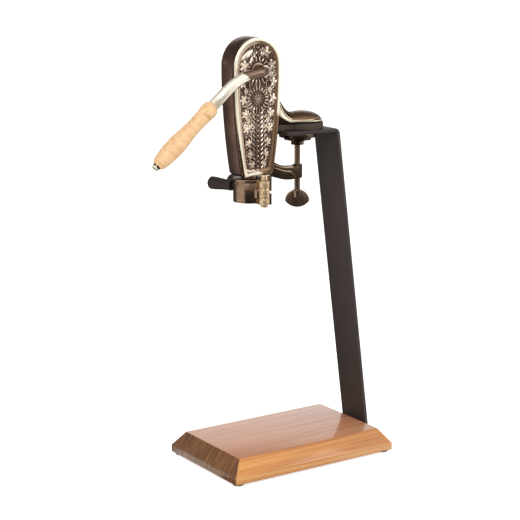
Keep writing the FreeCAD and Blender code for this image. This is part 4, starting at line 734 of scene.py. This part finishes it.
def lobed_leaf():
    """A vine leaf of five lobes: notched, dished along its edge, with a raised vein to each tip."""
    leaf = new_disc(40)
    tips = (0.0, 0.175, 0.35)
    notches = (0.1, 0.275, 0.45)
    pick(leaf, lambda place: near(heading(place), *notches))
    resize(0.46, 0.46)
    pick(leaf, lambda place: near(heading(place), 0.075, 0.125, 0.25, 0.30, 0.425, 0.475))
    resize(0.72, 0.72)
    pick(leaf, lambda place: near(heading(place), 0.5))
    resize(0.34, 0.34)
    pick(leaf, lambda place: near(heading(place), *tips))
    resize(1.12, 1.12)
    take_all()
    step_in(0.97, 0.62)
    step_in(0.76, 0.34)
    step_in(0.62, -0.10)
    step_in(0.40, 0.10)
    bpy.ops.mesh.merge(type="CENTER")
    for tip in tips:
        pick(leaf, lambda place: near(heading(place), tip) and place.z > 0.5 and place.length > 0.3)
        lift(0.30)
    for notch in notches:
        pick(leaf, lambda place: near(heading(place), notch) and 0.9 > place.z > 0.5)
        lift(-0.30)
    leave_edit()
    return leaf


def slim_leaf():
    """A small pointed leaf with a keel, for filling between the large ones."""
    leaf = new_disc(10)
    resize(0.42, 1.0)
    pick(leaf, lambda place: near(heading(place), 0.1, 0.4, within=0.06) and abs(place.x) > 0.01)
    resize(0.80, 0.92)
    take_all()
    step_in(0.82, 0.55)
    step_in(0.42, 0.35)
    bpy.ops.mesh.merge(type="CENTER")
    pick(leaf, lambda place: abs(place.x) < 0.05 and place.z > 0.4)
    lift(0.28)
    leave_edit()
    return leaf


def berry():
    """A round berry, cut off flat where it meets the field."""
    take_none()
    bpy.ops.mesh.primitive_uv_sphere_add(segments=8, ring_count=6, radius=1.0)
    ball = bpy.context.object
    edit_all()
    bpy.ops.mesh.bisect(
        plane_co=(0.0, 0.0, -0.45), plane_no=(0.0, 0.0, 1.0), clear_inner=True, use_fill=True
    )
    take_all()
    lift(0.45)
    pick(ball, lambda place: place.z > 1.4)
    lift(-0.12)
    leave_edit()
    return ball


def copy_of(master, name):
    piece = bpy.data.objects.new(name, master.data.copy())
    bpy.context.scene.collection.objects.link(piece)
    return piece


def free_of_fixed(x, z, radius):
    """True where a carving of that radius clears the shaft, the rosette, the band and the rim."""
    if abs(x) + radius * 0.80 > field_half_width(z):
        return False
    if z + radius * 0.80 > CROWN_Z + math.sqrt(max(0.0, (CROWN_R - FIELD_MARGIN) ** 2 - x * x)):
        return False
    if math.hypot(x, z - CRANK_Z) < BOSS_CLEAR + radius * 0.70:
        return False
    if math.hypot(x, z - ROSETTE_Z) < ROSETTE_R + radius * 0.80:
        return False
    if BAND_LOW_Z - radius < z < BAND_TOP_Z + radius * 0.5 and abs(x) < BAND_HALF + radius * 0.72:
        return False
    return z - radius * 0.8 > front_low.z + 6 * MM


def frond_places():
    """Slim leaves in order: round the shaft, round the rosette and up both sides of the band."""
    found = []
    for middle, reach, count, size in (
        (CRANK_Z, BOSS_CLEAR + 4.6 * MM, 18, 4.4 * MM),
        (ROSETTE_Z, ROSETTE_R + 4.9 * MM, 20, 4.3 * MM),
    ):
        for place in range(count // 2):
            angle = 2 * math.pi * (place + 0.5) / count
            found.append((math.sin(angle) * reach, middle + math.cos(angle) * reach, size, angle))
    for column, (x, size, lean, step) in enumerate((
        (6.6 * MM, 4.6 * MM, math.radians(40), 6.2 * MM),
        (12.2 * MM, 4.4 * MM, math.radians(52), 6.6 * MM),
    )):
        z = BAND_LOW_Z + (1 + 3 * column) * MM
        while z < BAND_TOP_Z - 4 * MM:
            found.append((x, z, size, lean))
            z += step
    return found


LARGE_LEAVES = (
    (12.5, 581.5, 8.6, 24),
    (22.0, 564.5, 7.4, 62),
    (24.2, 541.0, 6.4, 80),
    (23.4, 519.0, 6.5, 96),
    (20.6, 499.0, 6.3, 60),
    (18.2, 479.0, 6.1, 62),
    (15.6, 460.0, 5.5, 58),
    (12.8, 443.0, 4.9, 54),
    (9.8, 429.5, 4.0, 50),
)


def leaf_places():
    """Places on one side of the field: large leaves, fronds, then small leaves between them."""
    chance = random.Random(7)
    taken = [(x * MM, z * MM, 3.9 * scale * MM) for x, z, scale in CLUSTERS]
    found = []
    for x, z, size, lean in LARGE_LEAVES:
        found.append((0, x * MM, z * MM, size * MM, math.radians(lean), 1.05))
        taken.append((x * MM, z * MM, size * 0.78 * MM))
    large = list(taken)
    for x, z, size, lean in frond_places():
        if x < 0.8 * MM or not free_of_fixed(x, z, size * 0.45):
            continue
        if any(math.hypot(x - u, z - w) < r * 0.86 for u, w, r in large):
            continue
        found.append((1, x, z, size, lean, chance.uniform(0.95, 1.1)))
        taken.append((x, z, size * 0.6))
    for kind, radius, spacing, tries in ((2, 3.3, 1.30, 2600), (3, 2.4, 1.10, 5200)):
        for _ in range(tries):
            z = chance.uniform(front_low.z + 7 * MM, front_high.z - 5 * MM)
            x = chance.uniform(0.4 * MM, CROWN_R)
            size = radius * MM * chance.uniform(0.86, 1.12)
            if x < size * 0.55 or not free_of_fixed(x, z, size):
                continue
            if any(math.hypot(x - u, z - w) < (size + r) / 2 * spacing for u, w, r in taken):
                continue
            taken.append((x, z, size))
            lean = math.atan2(x, (z - ROSETTE_Z) * 0.6 + 0.001) + chance.uniform(-0.7, 0.7)
            found.append((kind, x, z, size, lean, chance.uniform(0.75, 1.0)))
    return found


def vine_leaves():
    """Mirrored leaves: lobed ones along the rim, slim ones round the shaft and the rosette."""
    masters = (lobed_leaf(), slim_leaf())
    pieces = []
    for kind, x, z, size, lean, lift in leaf_places():
        depth = lift * (2.3, 1.9, 1.5, 1.3)[kind] * MM
        stretch = size * (1.0, 1.0, 1.2, 1.3)[kind]
        for side in (-1, 1):
            if side < 0 and kind != 1 and math.hypot(x - 17.0 * MM, z - 577.0 * MM) < 10.5 * MM:
                continue
            piece = copy_of(masters[kind > 0], "leaf")
            stand_up(piece, x * side, z, -lean * side, stretch, depth)
            pieces.append(piece)
    for master in masters:
        bpy.data.objects.remove(master)
    return joined("vine_leaves", pieces)


def grape_bunches():
    """Bunches of grapes hanging between the leaves, three abreast at the top and one at the tip."""
    chance = random.Random(11)
    master = berry()
    pieces = []
    for x, z, scale in CLUSTERS:
        for side in (-1, 1):
            for row, count in enumerate((2, 3, 3, 2, 1)):
                for place in range(count):
                    across = (place - (count - 1) / 2) * 2.5 * scale
                    u = (across + chance.uniform(-0.15, 0.15)) * MM
                    w = (2 - row) * 2.1 * scale * MM
                    ball = copy_of(master, "grape")
                    radius = 1.42 * scale * MM * chance.uniform(0.92, 1.06)
                    stand_up(ball, side * x * MM + u, z * MM + w, 0.0, radius, radius * 1.05)
                    pieces.append(ball)
    bpy.data.objects.remove(master)
    return joined("grape_bunches", pieces)


def vine_line(name, points, width, tip=0.5):
    """A raised stem along points (x, z, height), round and tapering."""
    line = bpy.data.curves.new(name, "CURVE")
    line.dimensions = "3D"
    line.bevel_depth = width
    line.bevel_resolution = 2
    line.use_fill_caps = True
    spline = line.splines.new("NURBS")
    spline.points.add(len(points) - 1)
    for place, (point, (x, z, height)) in enumerate(zip(spline.points, points)):
        point.co = (CRANK_X + x, FIELD_Y - height, z, 1.0)
        point.radius = 1.0 + (tip - 1.0) * place / (len(points) - 1)
    spline.order_u = 3
    spline.use_endpoint_u = True
    piece = bpy.data.objects.new(name, line)
    bpy.context.scene.collection.objects.link(piece)
    only(piece)
    bpy.ops.object.convert(target="MESH")
    return bpy.context.object


def curl(x, z, start, turns, radius, side):
    """Points of a tendril that winds inwards."""
    points = []
    steps = 18
    for step in range(steps + 1):
        share = step / steps
        angle = start + turns * 2 * math.pi * share
        reach = radius * (1 - 0.82 * share)
        points.append((side * (x + reach * math.cos(angle)), z + reach * math.sin(angle), 1.1 * MM))
    return points


def vine_stems():
    """Stems that climb both sides of the field and the tendrils that leave them."""
    pieces = []
    for side in (-1, 1):
        climb = []
        for step in range(15):
            share = step / 14
            z = BAND_LOW_Z - 3 * MM + share * (CROWN_Z + 14 * MM - BAND_LOW_Z)
            middle = field_half_width(z) * 0.56
            x = middle + math.sin(share * 15.0) * 3.2 * MM
            climb.append((side * x, z, 0.7 * MM))
        pieces.append(vine_line("stem", climb, 0.85 * MM, 0.6))
        for x, z, start, turns, radius in (
            (26.5, 552.0, 1.2, 1.6, 4.4),
            (8.5, 580.0, 2.2, 1.5, 4.2),
            (22.5, 512.0, 0.2, 1.5, 4.2),
            (9.0, 482.0, 2.6, 1.4, 3.6),
            (13.5, 447.0, 0.8, 1.4, 3.4),
            (23.0, 486.0, 1.9, 1.5, 3.8),
        ):
            points = curl(x * MM, z * MM, start, turns, radius * MM, side)
            pieces.append(vine_line("tendril", points, 0.62 * MM, 0.4))
    return joined("vine_stems", pieces)


def turned_ring(name, place, inner, outer, height, edge):
    """A closed ring of rectangular section with its edges rounded, lying flat on its own axis."""
    take_none()
    bpy.ops.mesh.primitive_circle_add(vertices=56, radius=inner, location=(0.0, 0.0, -height / 2))
    ring = bpy.context.object
    settle(ring)
    edit_all()
    for share, rise in ((outer / inner, 0.0), (1.0, height), (inner / outer, 0.0), (1.0, -height)):
        step_in(share, rise)
    take_all()
    bpy.ops.mesh.remove_doubles(threshold=0.000001)
    face_outwards()
    leave_edit()
    rounding = ring.modifiers.new("edge", "BEVEL")
    rounding.width = edge
    rounding.segments = 3
    rounding.limit_method = "ANGLE"
    apply_all(ring)
    ring.name = name
    ring.data.transform(place)
    return ring


def ring_on_field(name, x, z, middle, width, height):
    upright = Matrix.Rotation(math.radians(90), 4, "X")
    place = Matrix.Translation((CRANK_X + x, FIELD_Y, z)) @ upright
    inner, outer = middle - width / 2, middle + width / 2
    return turned_ring(name, place, inner, outer, height * 2, width * 0.45)


def rosette():
    """A round flower under the shaft: petals between two rings, and berries in the middle."""
    pieces = [
        ring_on_field("rosette_ring", 0.0, ROSETTE_Z, ROSETTE_R * 0.50, 1.0 * MM, 1.3 * MM),
        ring_on_field("rosette_edge", 0.0, ROSETTE_Z, ROSETTE_R * 1.0, 0.8 * MM, 0.8 * MM),
    ]
    petal_count = 13
    petals = slim_leaf()
    for place in range(petal_count):
        angle = 2 * math.pi * place / petal_count
        petal = copy_of(petals, "petal")
        x, z = math.sin(angle) * ROSETTE_R * 0.76, math.cos(angle) * ROSETTE_R * 0.76
        stand_up(petal, x, ROSETTE_Z + z, -angle, 2.6 * MM, 1.5 * MM)
        pieces.append(petal)
    bpy.data.objects.remove(petals)
    master = berry()
    seeds = [(0.0, 0.0, 1.5)]
    for place in range(8):
        angle = 2 * math.pi * place / 8
        seeds.append((2.9 * math.cos(angle), 2.9 * math.sin(angle), 1.05))
    for u, w, radius in seeds:
        seed = copy_of(master, "seed")
        pieces.append(stand_up(seed, u * MM, ROSETTE_Z + w * MM, 0.0, radius * MM, radius * MM))
    bpy.data.objects.remove(master)
    return joined("rosette", pieces)


def beaded_band():
    """A narrow upright band of beads between two rails."""
    pieces = []
    master = berry()
    pitch = 3.5 * MM
    count = int((BAND_TOP_Z - BAND_LOW_Z) / pitch)
    for place in range(count):
        size = (1.55 if place % 2 == 0 else 0.95) * MM
        z = BAND_LOW_Z + pitch * (place + 0.5)
        pieces.append(stand_up(copy_of(master, "bead"), 0.0, z, 0.0, size, size))
    bpy.data.objects.remove(master)
    for side in (-1, 1):
        rail = [
            (side * BAND_HALF * 0.85, BAND_LOW_Z - 1.0 * MM, 0.7 * MM),
            (side * BAND_HALF * 0.95, (BAND_LOW_Z + BAND_TOP_Z) / 2, 0.7 * MM),
            (side * BAND_HALF * 0.85, BAND_TOP_Z, 0.7 * MM),
        ]
        pieces.append(vine_line("rail", rail, 0.62 * MM, 1.0))
    return joined("beaded_band", pieces)


def inside_edge(share):
    """A place on the rim's inner edge, going round it once, in the carving's own plane."""
    foot_z = front_low.z + 7.5 * MM
    side_share = 0.33
    if share < side_share or share > 1 - side_share - 0.10 and share <= 0.90:
        along = share / side_share if share < side_share else (0.90 - share) / side_share
        z = foot_z + (CROWN_Z - foot_z) * along
        return (1 if share < 0.5 else -1) * field_half_width(z, RIM_INSIDE), z
    if share <= 0.90:
        turn = math.pi * (share - side_share) / (0.90 - 2 * side_share)
        reach = CROWN_R - RIM_INSIDE
        return reach * math.cos(turn), CROWN_Z + reach * math.sin(turn)
    across = 1 - (share - 0.90) / 0.05
    return field_half_width(foot_z, RIM_INSIDE) * -across, foot_z - 1.5 * MM * (1 - across * across)


def inner_moulding():
    """The smooth sloping band between the polished rim and the carving."""
    band = new_disc(120)
    leave_edit()
    corners = sorted(
        band.data.vertices,
        key=lambda vertex: math.atan2(vertex.co.y, vertex.co.x) % (2 * math.pi),
    )
    for place, vertex in enumerate(corners):
        vertex.co.x, vertex.co.y = inside_edge(place / len(corners))
    only(band)
    edit_all()
    bpy.ops.mesh.extrude_edges_move()
    lift(1.35 * MM)
    bpy.ops.mesh.edge_face_add()
    bpy.ops.mesh.select_mode(type="FACE")
    bpy.ops.mesh.inset(thickness=0.3 * MM, depth=0.0)
    bpy.ops.mesh.inset(thickness=3.5 * MM, depth=-1.0 * MM)
    bpy.ops.mesh.inset(thickness=0.05 * MM, depth=-0.35 * MM)
    bpy.ops.mesh.delete(type="ONLY_FACE")
    take_all()
    face_outwards()
    leave_edit()
    band.name = "inner_moulding"
    return stand_up(band, 0.0, 0.0, 0.0, 1.0, 1.0)


def glint_leaf():
    """Broad smooth leaves near the crown, pale all over as a painted highlight."""
    pieces = []
    master = slim_leaf()
    for x, z, turn, size in (
        (-16.8, 579.0, -52, 12.6),
        (-10.6, 571.4, -8, 5.6),
        (-22.6, 564.8, -30, 5.6),
    ):
        piece = copy_of(master, "leaf")
        stand_up(piece, x * MM, z * MM, math.radians(turn), size * MM, 1.9 * MM)
        pieces.append(piece)
    bpy.data.objects.remove(master)
    return joined("glint_leaf", pieces)


def carve_field():
    dress(smooth(inner_moulding()), moulding, "stand", "bronze")
    # The smooth leaves near the crown carry a painted highlight.
    dress(smooth(glint_leaf(), math.radians(60)), wear_and_glint, "stand", "bronze")
    for piece in (vine_leaves(), grape_bunches(), vine_stems()):
        smooth(piece, math.radians(50))
        dress(piece, carved, "stand", "bronze")
    for piece in (rosette(), beaded_band()):
        smooth(piece, math.radians(50))
        dress(piece, carved_dark, "stand", "bronze")


def hinge_rings():
    """Turned rings that mark the ends of the hinge's knuckles."""
    barrel_low, barrel_high = 375.0 * MM, 408.0 * MM
    third = (barrel_high - barrel_low) / 3
    end, joint = 1.4 * MM, 2.2 * MM
    rings = {
        "stand": (
            barrel_low + end,
            barrel_low + third - joint,
            barrel_high - third + joint,
            barrel_high - end,
        ),
        "jaw": (barrel_low + third + joint, barrel_high - third - joint),
    }
    for body, heights in rings.items():
        pieces = []
        for z in heights:
            place = Matrix.Translation((HINGE_X, HINGE_Y, z))
            pieces.append(turned_ring("ring", place, 6.2 * MM, 7.9 * MM, 1.2 * MM, 0.55 * MM))
        whole = joined(f"{body}_hinge_rings", pieces)
        smooth(whole, math.radians(50))
        dress(whole, brass, body, "brass")


def clamp_lines():
    """Raised edges of the clamp: a dark one over the sweep as a painted dark reflection, paler ones
    on sweep and arm with painted highlight.
    """
    def along(name, y, width, points, tip):
        path = [(x * MM - CRANK_X, z * MM, 0.0) for x, z in points]
        line = vine_line(name, path, width * MM, tip)
        line.data.transform(Matrix.Translation((0.0, y * MM - FIELD_Y, 0.0)))
        return line

    over_sweep = ((34.0, 509.0), (37.6, 503.6), (42.6, 497.6), (48.5, 492.8), (57.0, 490.6))
    # Painted reflection: a dark tube along the sweep's fillet.
    sweep_dark_reflection = along("sweep_dark_reflection", -4.0, 4.2, over_sweep, 1.0)
    dress(smooth(sweep_dark_reflection), clamp_dark, "stand", "bronze")
    front_edge = (
        (30.0, 509.0), (31.4, 505.0), (34.4, 499.4), (38.8, 494.2), (44.4, 489.2), (51.0, 485.6),
        (58.0, 483.8),
    )
    # The sweep's polished front edge, its pale colour a painted highlight.
    edge = along("edge", -12.6, 1.9, front_edge, 0.9)
    dress(smooth(edge), polished, "stand", "bronze")
    arm_top = ((26.0, 424.6), (34.3, 420.9), (45.7, 418.4), (58.0, 418.4))
    arm_line = (
        (26.4, 420.0), (36.0, 416.2), (45.7, 413.4), (54.0, 412.6), (58.6, 408.0), (61.4, 403.9),
    )
    arm = [
        along("arm_top", -6.6, 0.9, arm_top, 0.8),
        along("arm_line", -6.6, 0.9, arm_line, 1.0),
    ]
    # Painted highlight: the arm's lines are paler than the arm.
    dress(smooth(joined("arm_lines", arm)), painted_highlight_edge, "stand", "bronze")


def saddle_crown():
    """The dome on the clamp's upper jaw, drawn out towards the sweep that carries it."""
    rise = 11.4 * MM
    shares = (1.0, 0.96, 0.90, 0.81, 0.70, 0.56, 0.40, 0.22, 0.08)
    heights = [rise * (1 - share * share) ** 0.62 for share in shares]
    dome = new_disc(64)
    for before, after, low, high in zip(shares, shares[1:], heights, heights[1:]):
        step_in(after / before, high - low)
    bpy.ops.mesh.merge(type="CENTER")
    take_all()
    face_outwards()
    leave_edit()
    dome.name = "saddle_crown"
    dome.data.transform(
        Matrix.Translation((SADDLE_X - 5.0 * MM, 0.0, saddle_low.z + 4.3 * MM))
        @ Matrix.Diagonal((30.6 * MM, 25.2 * MM, 1.0, 1.0))
    )
    return dress(smooth(dome, math.radians(60)), saddle, "stand", "bronze")


def pad_tongue():
    """The pad's tongue under the sweep, between the round pad and the casting."""
    left, right = front_high.x - 3.0 * MM, pad_low.x + 6.0 * MM
    take_none()
    bpy.ops.mesh.primitive_cube_add(
        size=1.0, location=((left + right) / 2, 0.0, (pad_low.z + pad_high.z) / 2 + 0.1 * MM)
    )
    tongue = bpy.context.object
    tongue.scale = (right - left, 27.0 * MM, pad_high.z - pad_low.z - 0.6 * MM)
    settle(tongue)
    edit_all()
    bpy.ops.mesh.bevel(offset=1.2 * MM, segments=3, affect="EDGES")
    leave_edit()
    tongue.name = "pad_tongue"
    return dress(smooth(tongue), rubber, "stand", "rubber")


def flared(piece):
    """Let the crank's rod grow thicker from its bend towards the grip."""
    first, last = math.radians(7), math.radians(40)
    bend = 87.0 * MM
    straight = Vector((math.cos(first), 0.0, math.sin(first))) * 16.0 * MM
    start = Vector((CRANK_X, 0.0, CRANK_Z)) - straight
    centre = start + Vector((math.sin(first), 0.0, -math.cos(first))) * bend
    for vertex in piece.data.vertices:
        place = vertex.co
        if place.x > start.x:
            continue
        spoke = Vector((place.x - centre.x, 0.0, place.z - centre.z))
        angle = math.atan2(-spoke.x, spoke.z)
        if angle < last:
            middle = centre + spoke.normalized() * bend
            run = bend * (angle - first)
        else:
            end = centre + Vector((-math.sin(last), 0.0, math.cos(last))) * bend
            along = Vector((-math.cos(last), 0.0, -math.sin(last)))
            run = (place - end).dot(along)
            middle = end + along * run
            run += bend * (last - first)
        middle.y = ROD_Y
        share = min(1.0, max(0.0, run / (40.0 * MM)))
        vertex.co = middle + (place - middle) * (1 + 0.22 * share)
    return piece


def build():
    carve_field()
    hinge_rings()
    saddle_crown()
    clamp_lines()
    pad_tongue()
    for node, finish, width, *more in (
        ("base_board", oak, 0.9, 3),
        ("upright_bar", coat, 0.9, 3),
        ("housing_front", face, 0.9, 3, math.radians(50), math.radians(0.03)),
        ("housing_back", bronze, 0.25, 2),
        ("fixed_jaw", brass, 0.35, 2),
        ("swing_jaw", brass, 0.35, 2),
        ("clamp_arm", clamp_dark, 0.9, 3),
        ("wing_knob", clamp_bronze, 1.2, 3),
        ("pressure_cup", dark_bronze, 0.5, 3),
        ("saddle_pad", rubber, 0.3, 2),
        ("clamp_saddle", saddle, 0.4, 2),
        ("crank_grip", beech, 0.5, 3),
        ("crank_arm", crank_gold, 0.0),
        ("front_lever_grip", moulded, 0.5, 3),
        ("rear_lever_grip", moulded, 0.5, 3),
        ("rubber_feet", rubber, 0.2, 2),
        ("crank_bushes", bush_bronze, 0.2, 2),
        ("hinge_pin", brass, 0.3, 2),
    ):
        piece = softened(node, finish, width * MM, *more)
        if node == "crank_arm":
            flared(piece)
    paint(rubber, "fixed_liner", "swing_liner")
    paint(brass, "worm_nut", "worm_head")
    paint(dark_bronze, "crank_nut", "grip_nut")
    paint(clamp_bronze, "cup_retainer", "clamp_screw")
    paint(
        steel,
        "upright_screws",
        "housing_screws",
        "crank_shaft",
        "crank_gear",
        "drive_pinion",
        "pinion_axle",
        "rack",
        "carriage",
        "guide_rods",
        "guide_bridge",
        "worm",
        "guide_pins",
        "clamp_bolts",
    )


# Stage: a pale floor, a white surround and soft lamps.
LOW_SCREENS = (
    (-180, 1.0),
    (-162, 1.0),
    (-153, 0.04),
    (-72, 0.04),
    (-52, 0.24),
    (-40, 1.0),
    (10, 0.90),
    (26, 0.12),
    (100, 0.10),
    (128, 0.18),
    (143, 1.0),
    (180, 1.0),
)
MIDDLE_SCREENS = (
    (-180, 0.90),
    (-150, 0.80),
    (-120, 0.35),
    (-60, 0.50),
    (-30, 0.90),
    (10, 0.90),
    (34, 0.25),
    (48, 1.25),
    (68, 1.25),
    (84, 0.20),
    (140, 0.20),
    (160, 0.90),
)
HIGH_SCREENS = (
    (-180, 1.1),
    (-100, 1.2),
    (-12, 1.1),
    (14, 0.14),
    (150, 0.14),
    (166, 1.0),
)


def studio_node(tree, kind, inputs=None, **settings):
    """A node of the stage, with its settings and the values or links of its sockets."""
    made = tree.nodes.new(kind)
    for name, value in settings.items():
        setattr(made, name, value)
    for name, value in (inputs or {}).items():
        if isinstance(value, bpy.types.NodeSocket):
            tree.links.new(value, made.inputs[name])
        else:
            made.inputs[name].default_value = value
    return made


def studio_glow(tree, x, y, screens):
    """What polished metal sees: bright screens, and a dark side where the camera stands."""
    heading_of = studio_node(tree, "ShaderNodeMath", {0: y, 1: x}, operation="ARCTAN2")
    share = studio_node(
        tree,
        "ShaderNodeMath",
        {0: heading_of.outputs[0], 1: 1 / (2 * math.pi), 2: 0.5},
        operation="MULTIPLY_ADD",
    )
    ramp = studio_node(tree, "ShaderNodeValToRGB", {0: share.outputs[0]})
    elements = ramp.color_ramp.elements
    while len(elements) < len(screens):
        elements.new(0.5)
    for element, (degrees, level) in zip(elements, screens):
        element.position = degrees / 360 + 0.5
        element.color = (level, level * 0.99, level * 0.97, 1.0)
    return ramp.outputs[0]


def blend(tree, share, low, high):
    """The shader low where share is 0 and high where it is 1."""
    inputs = {0: share, 1: low.outputs[0], 2: high.outputs[0]}
    return studio_node(tree, "ShaderNodeMixShader", inputs)


def make_floor():
    """White to the camera apart from its shadow, screens to polished metal, paper to the rest."""
    take_none()
    bpy.ops.mesh.primitive_plane_add(size=60.0, location=(0.0, 20.0, 0.0))
    floor = bpy.context.object
    floor.name = "floor"
    paper = Finish("floor_paper", Roughness=0.9)
    paper.wear(Base_Color=(0.93, 0.93, 0.93, 1.0))
    tree = paper.tree
    seen_by = studio_node(tree, "ShaderNodeLightPath").outputs
    white = {"Color": (1.0, 1.0, 1.0, 1.0), "Strength": 0.55}
    glow = studio_node(tree, "ShaderNodeEmission", white)
    total = studio_node(
        tree, "ShaderNodeAddShader", {0: paper.shader.outputs[0], 1: glow.outputs[0]}
    )
    where = studio_node(tree, "ShaderNodeNewGeometry").outputs["Position"]
    split = studio_node(tree, "ShaderNodeSeparateXYZ", {0: where}).outputs
    screens = studio_glow(tree, split["X"], split["Y"], LOW_SCREENS)
    mirrored = studio_node(tree, "ShaderNodeEmission", {"Color": screens})
    polish = blend(tree, seen_by["Is Glossy Ray"], paper.shader, mirrored)
    final = blend(tree, seen_by["Is Camera Ray"], polish, total)
    tree.links.new(final.outputs[0], tree.nodes["Material Output"].inputs["Surface"])
    floor.data.materials.append(paper.material)


def make_world():
    """White to the camera, two bands of screens to polished metal, soft light to the rest."""
    world = bpy.data.worlds.new("studio")
    bpy.context.scene.world = world
    world.use_nodes = True
    tree = world.node_tree
    tree.nodes.clear()
    place = studio_node(tree, "ShaderNodeTexCoord").outputs["Generated"]
    split = studio_node(tree, "ShaderNodeSeparateXYZ", {0: place}).outputs
    height = studio_node(
        tree,
        "ShaderNodeMapRange",
        {
            "Value": split["Z"],
            "From Min": math.sin(math.radians(22)),
            "From Max": math.sin(math.radians(34)),
        },
        interpolation_type="SMOOTHSTEP",
    )
    middle, high = (
        studio_glow(tree, split["X"], split["Y"], screens)
        for screens in (MIDDLE_SCREENS, HIGH_SCREENS)
    )
    layers = studio_node(
        tree, "ShaderNodeMix", {0: height.outputs[0], 6: middle, 7: high}, data_type="RGBA"
    )
    room, mirror, white = (
        studio_node(tree, "ShaderNodeBackground", {"Color": colour, "Strength": strength})
        for colour, strength in (
            ((1.0, 0.99, 0.98, 1.0), 0.68),
            (layers.outputs[2], 1.0),
            ((1.0, 1.0, 1.0, 1.0), 1.0),
        )
    )
    seen_by = studio_node(tree, "ShaderNodeLightPath").outputs
    glossy = blend(tree, seen_by["Is Glossy Ray"], room, mirror)
    final = blend(tree, seen_by["Is Camera Ray"], glossy, white)
    out = studio_node(tree, "ShaderNodeOutputWorld")
    tree.links.new(final.outputs[0], out.inputs["Surface"])


def softbox(name, place, target, size, power):
    lamp = bpy.data.lights.new(name, "AREA")
    lamp.shape = "RECTANGLE"
    lamp.size, lamp.size_y = size
    lamp.energy = power
    thing = bpy.data.objects.new(name, lamp)
    bpy.context.scene.collection.objects.link(thing)
    thing.location = place
    thing.rotation_euler = (Vector(target) - Vector(place)).to_track_quat("-Z", "Y").to_euler()
    return thing


def make_lamps():
    middle = (0.0, 0.0, 0.35)
    softbox("key_left", (-1.6, -1.5, 1.7), middle, (1.2, 1.2), 30.0)
    softbox("fill_right", (1.5, -1.7, 1.1), middle, (0.9, 1.4), 10.0)
    softbox("top_back", (0.3, 1.4, 1.9), middle, (1.6, 0.8), 8.0).visible_glossy = False
    softbox("side_glint", (-1.75, 2.44, 0.66), (-0.05, 0.0, 0.57), (0.34, 0.22), 0.8)


FOCAL_PIXELS = 1600
FRAME_PIXELS = 520


def make_camera():
    """The photograph's view."""
    camera = bpy.data.cameras.new("photo_view")
    camera.sensor_width = 36.0
    camera.lens = camera.sensor_width * FOCAL_PIXELS / FRAME_PIXELS
    thing = bpy.data.objects.new("photo_view", camera)
    bpy.context.scene.collection.objects.link(thing)
    place = Vector((-1.2112, -1.816, 0.777))
    target = Vector((0.0066, 0.0, 0.2905))
    thing.location = place
    thing.rotation_euler = (target - place).to_track_quat("-Z", "Y").to_euler()
    camera.clip_start = 0.05
    camera.clip_end = 40.0
    bpy.context.scene.camera = thing


make_camera()
make_world()
make_lamps()
make_floor()
bpy.context.scene.view_settings.view_transform = "Standard"
build()
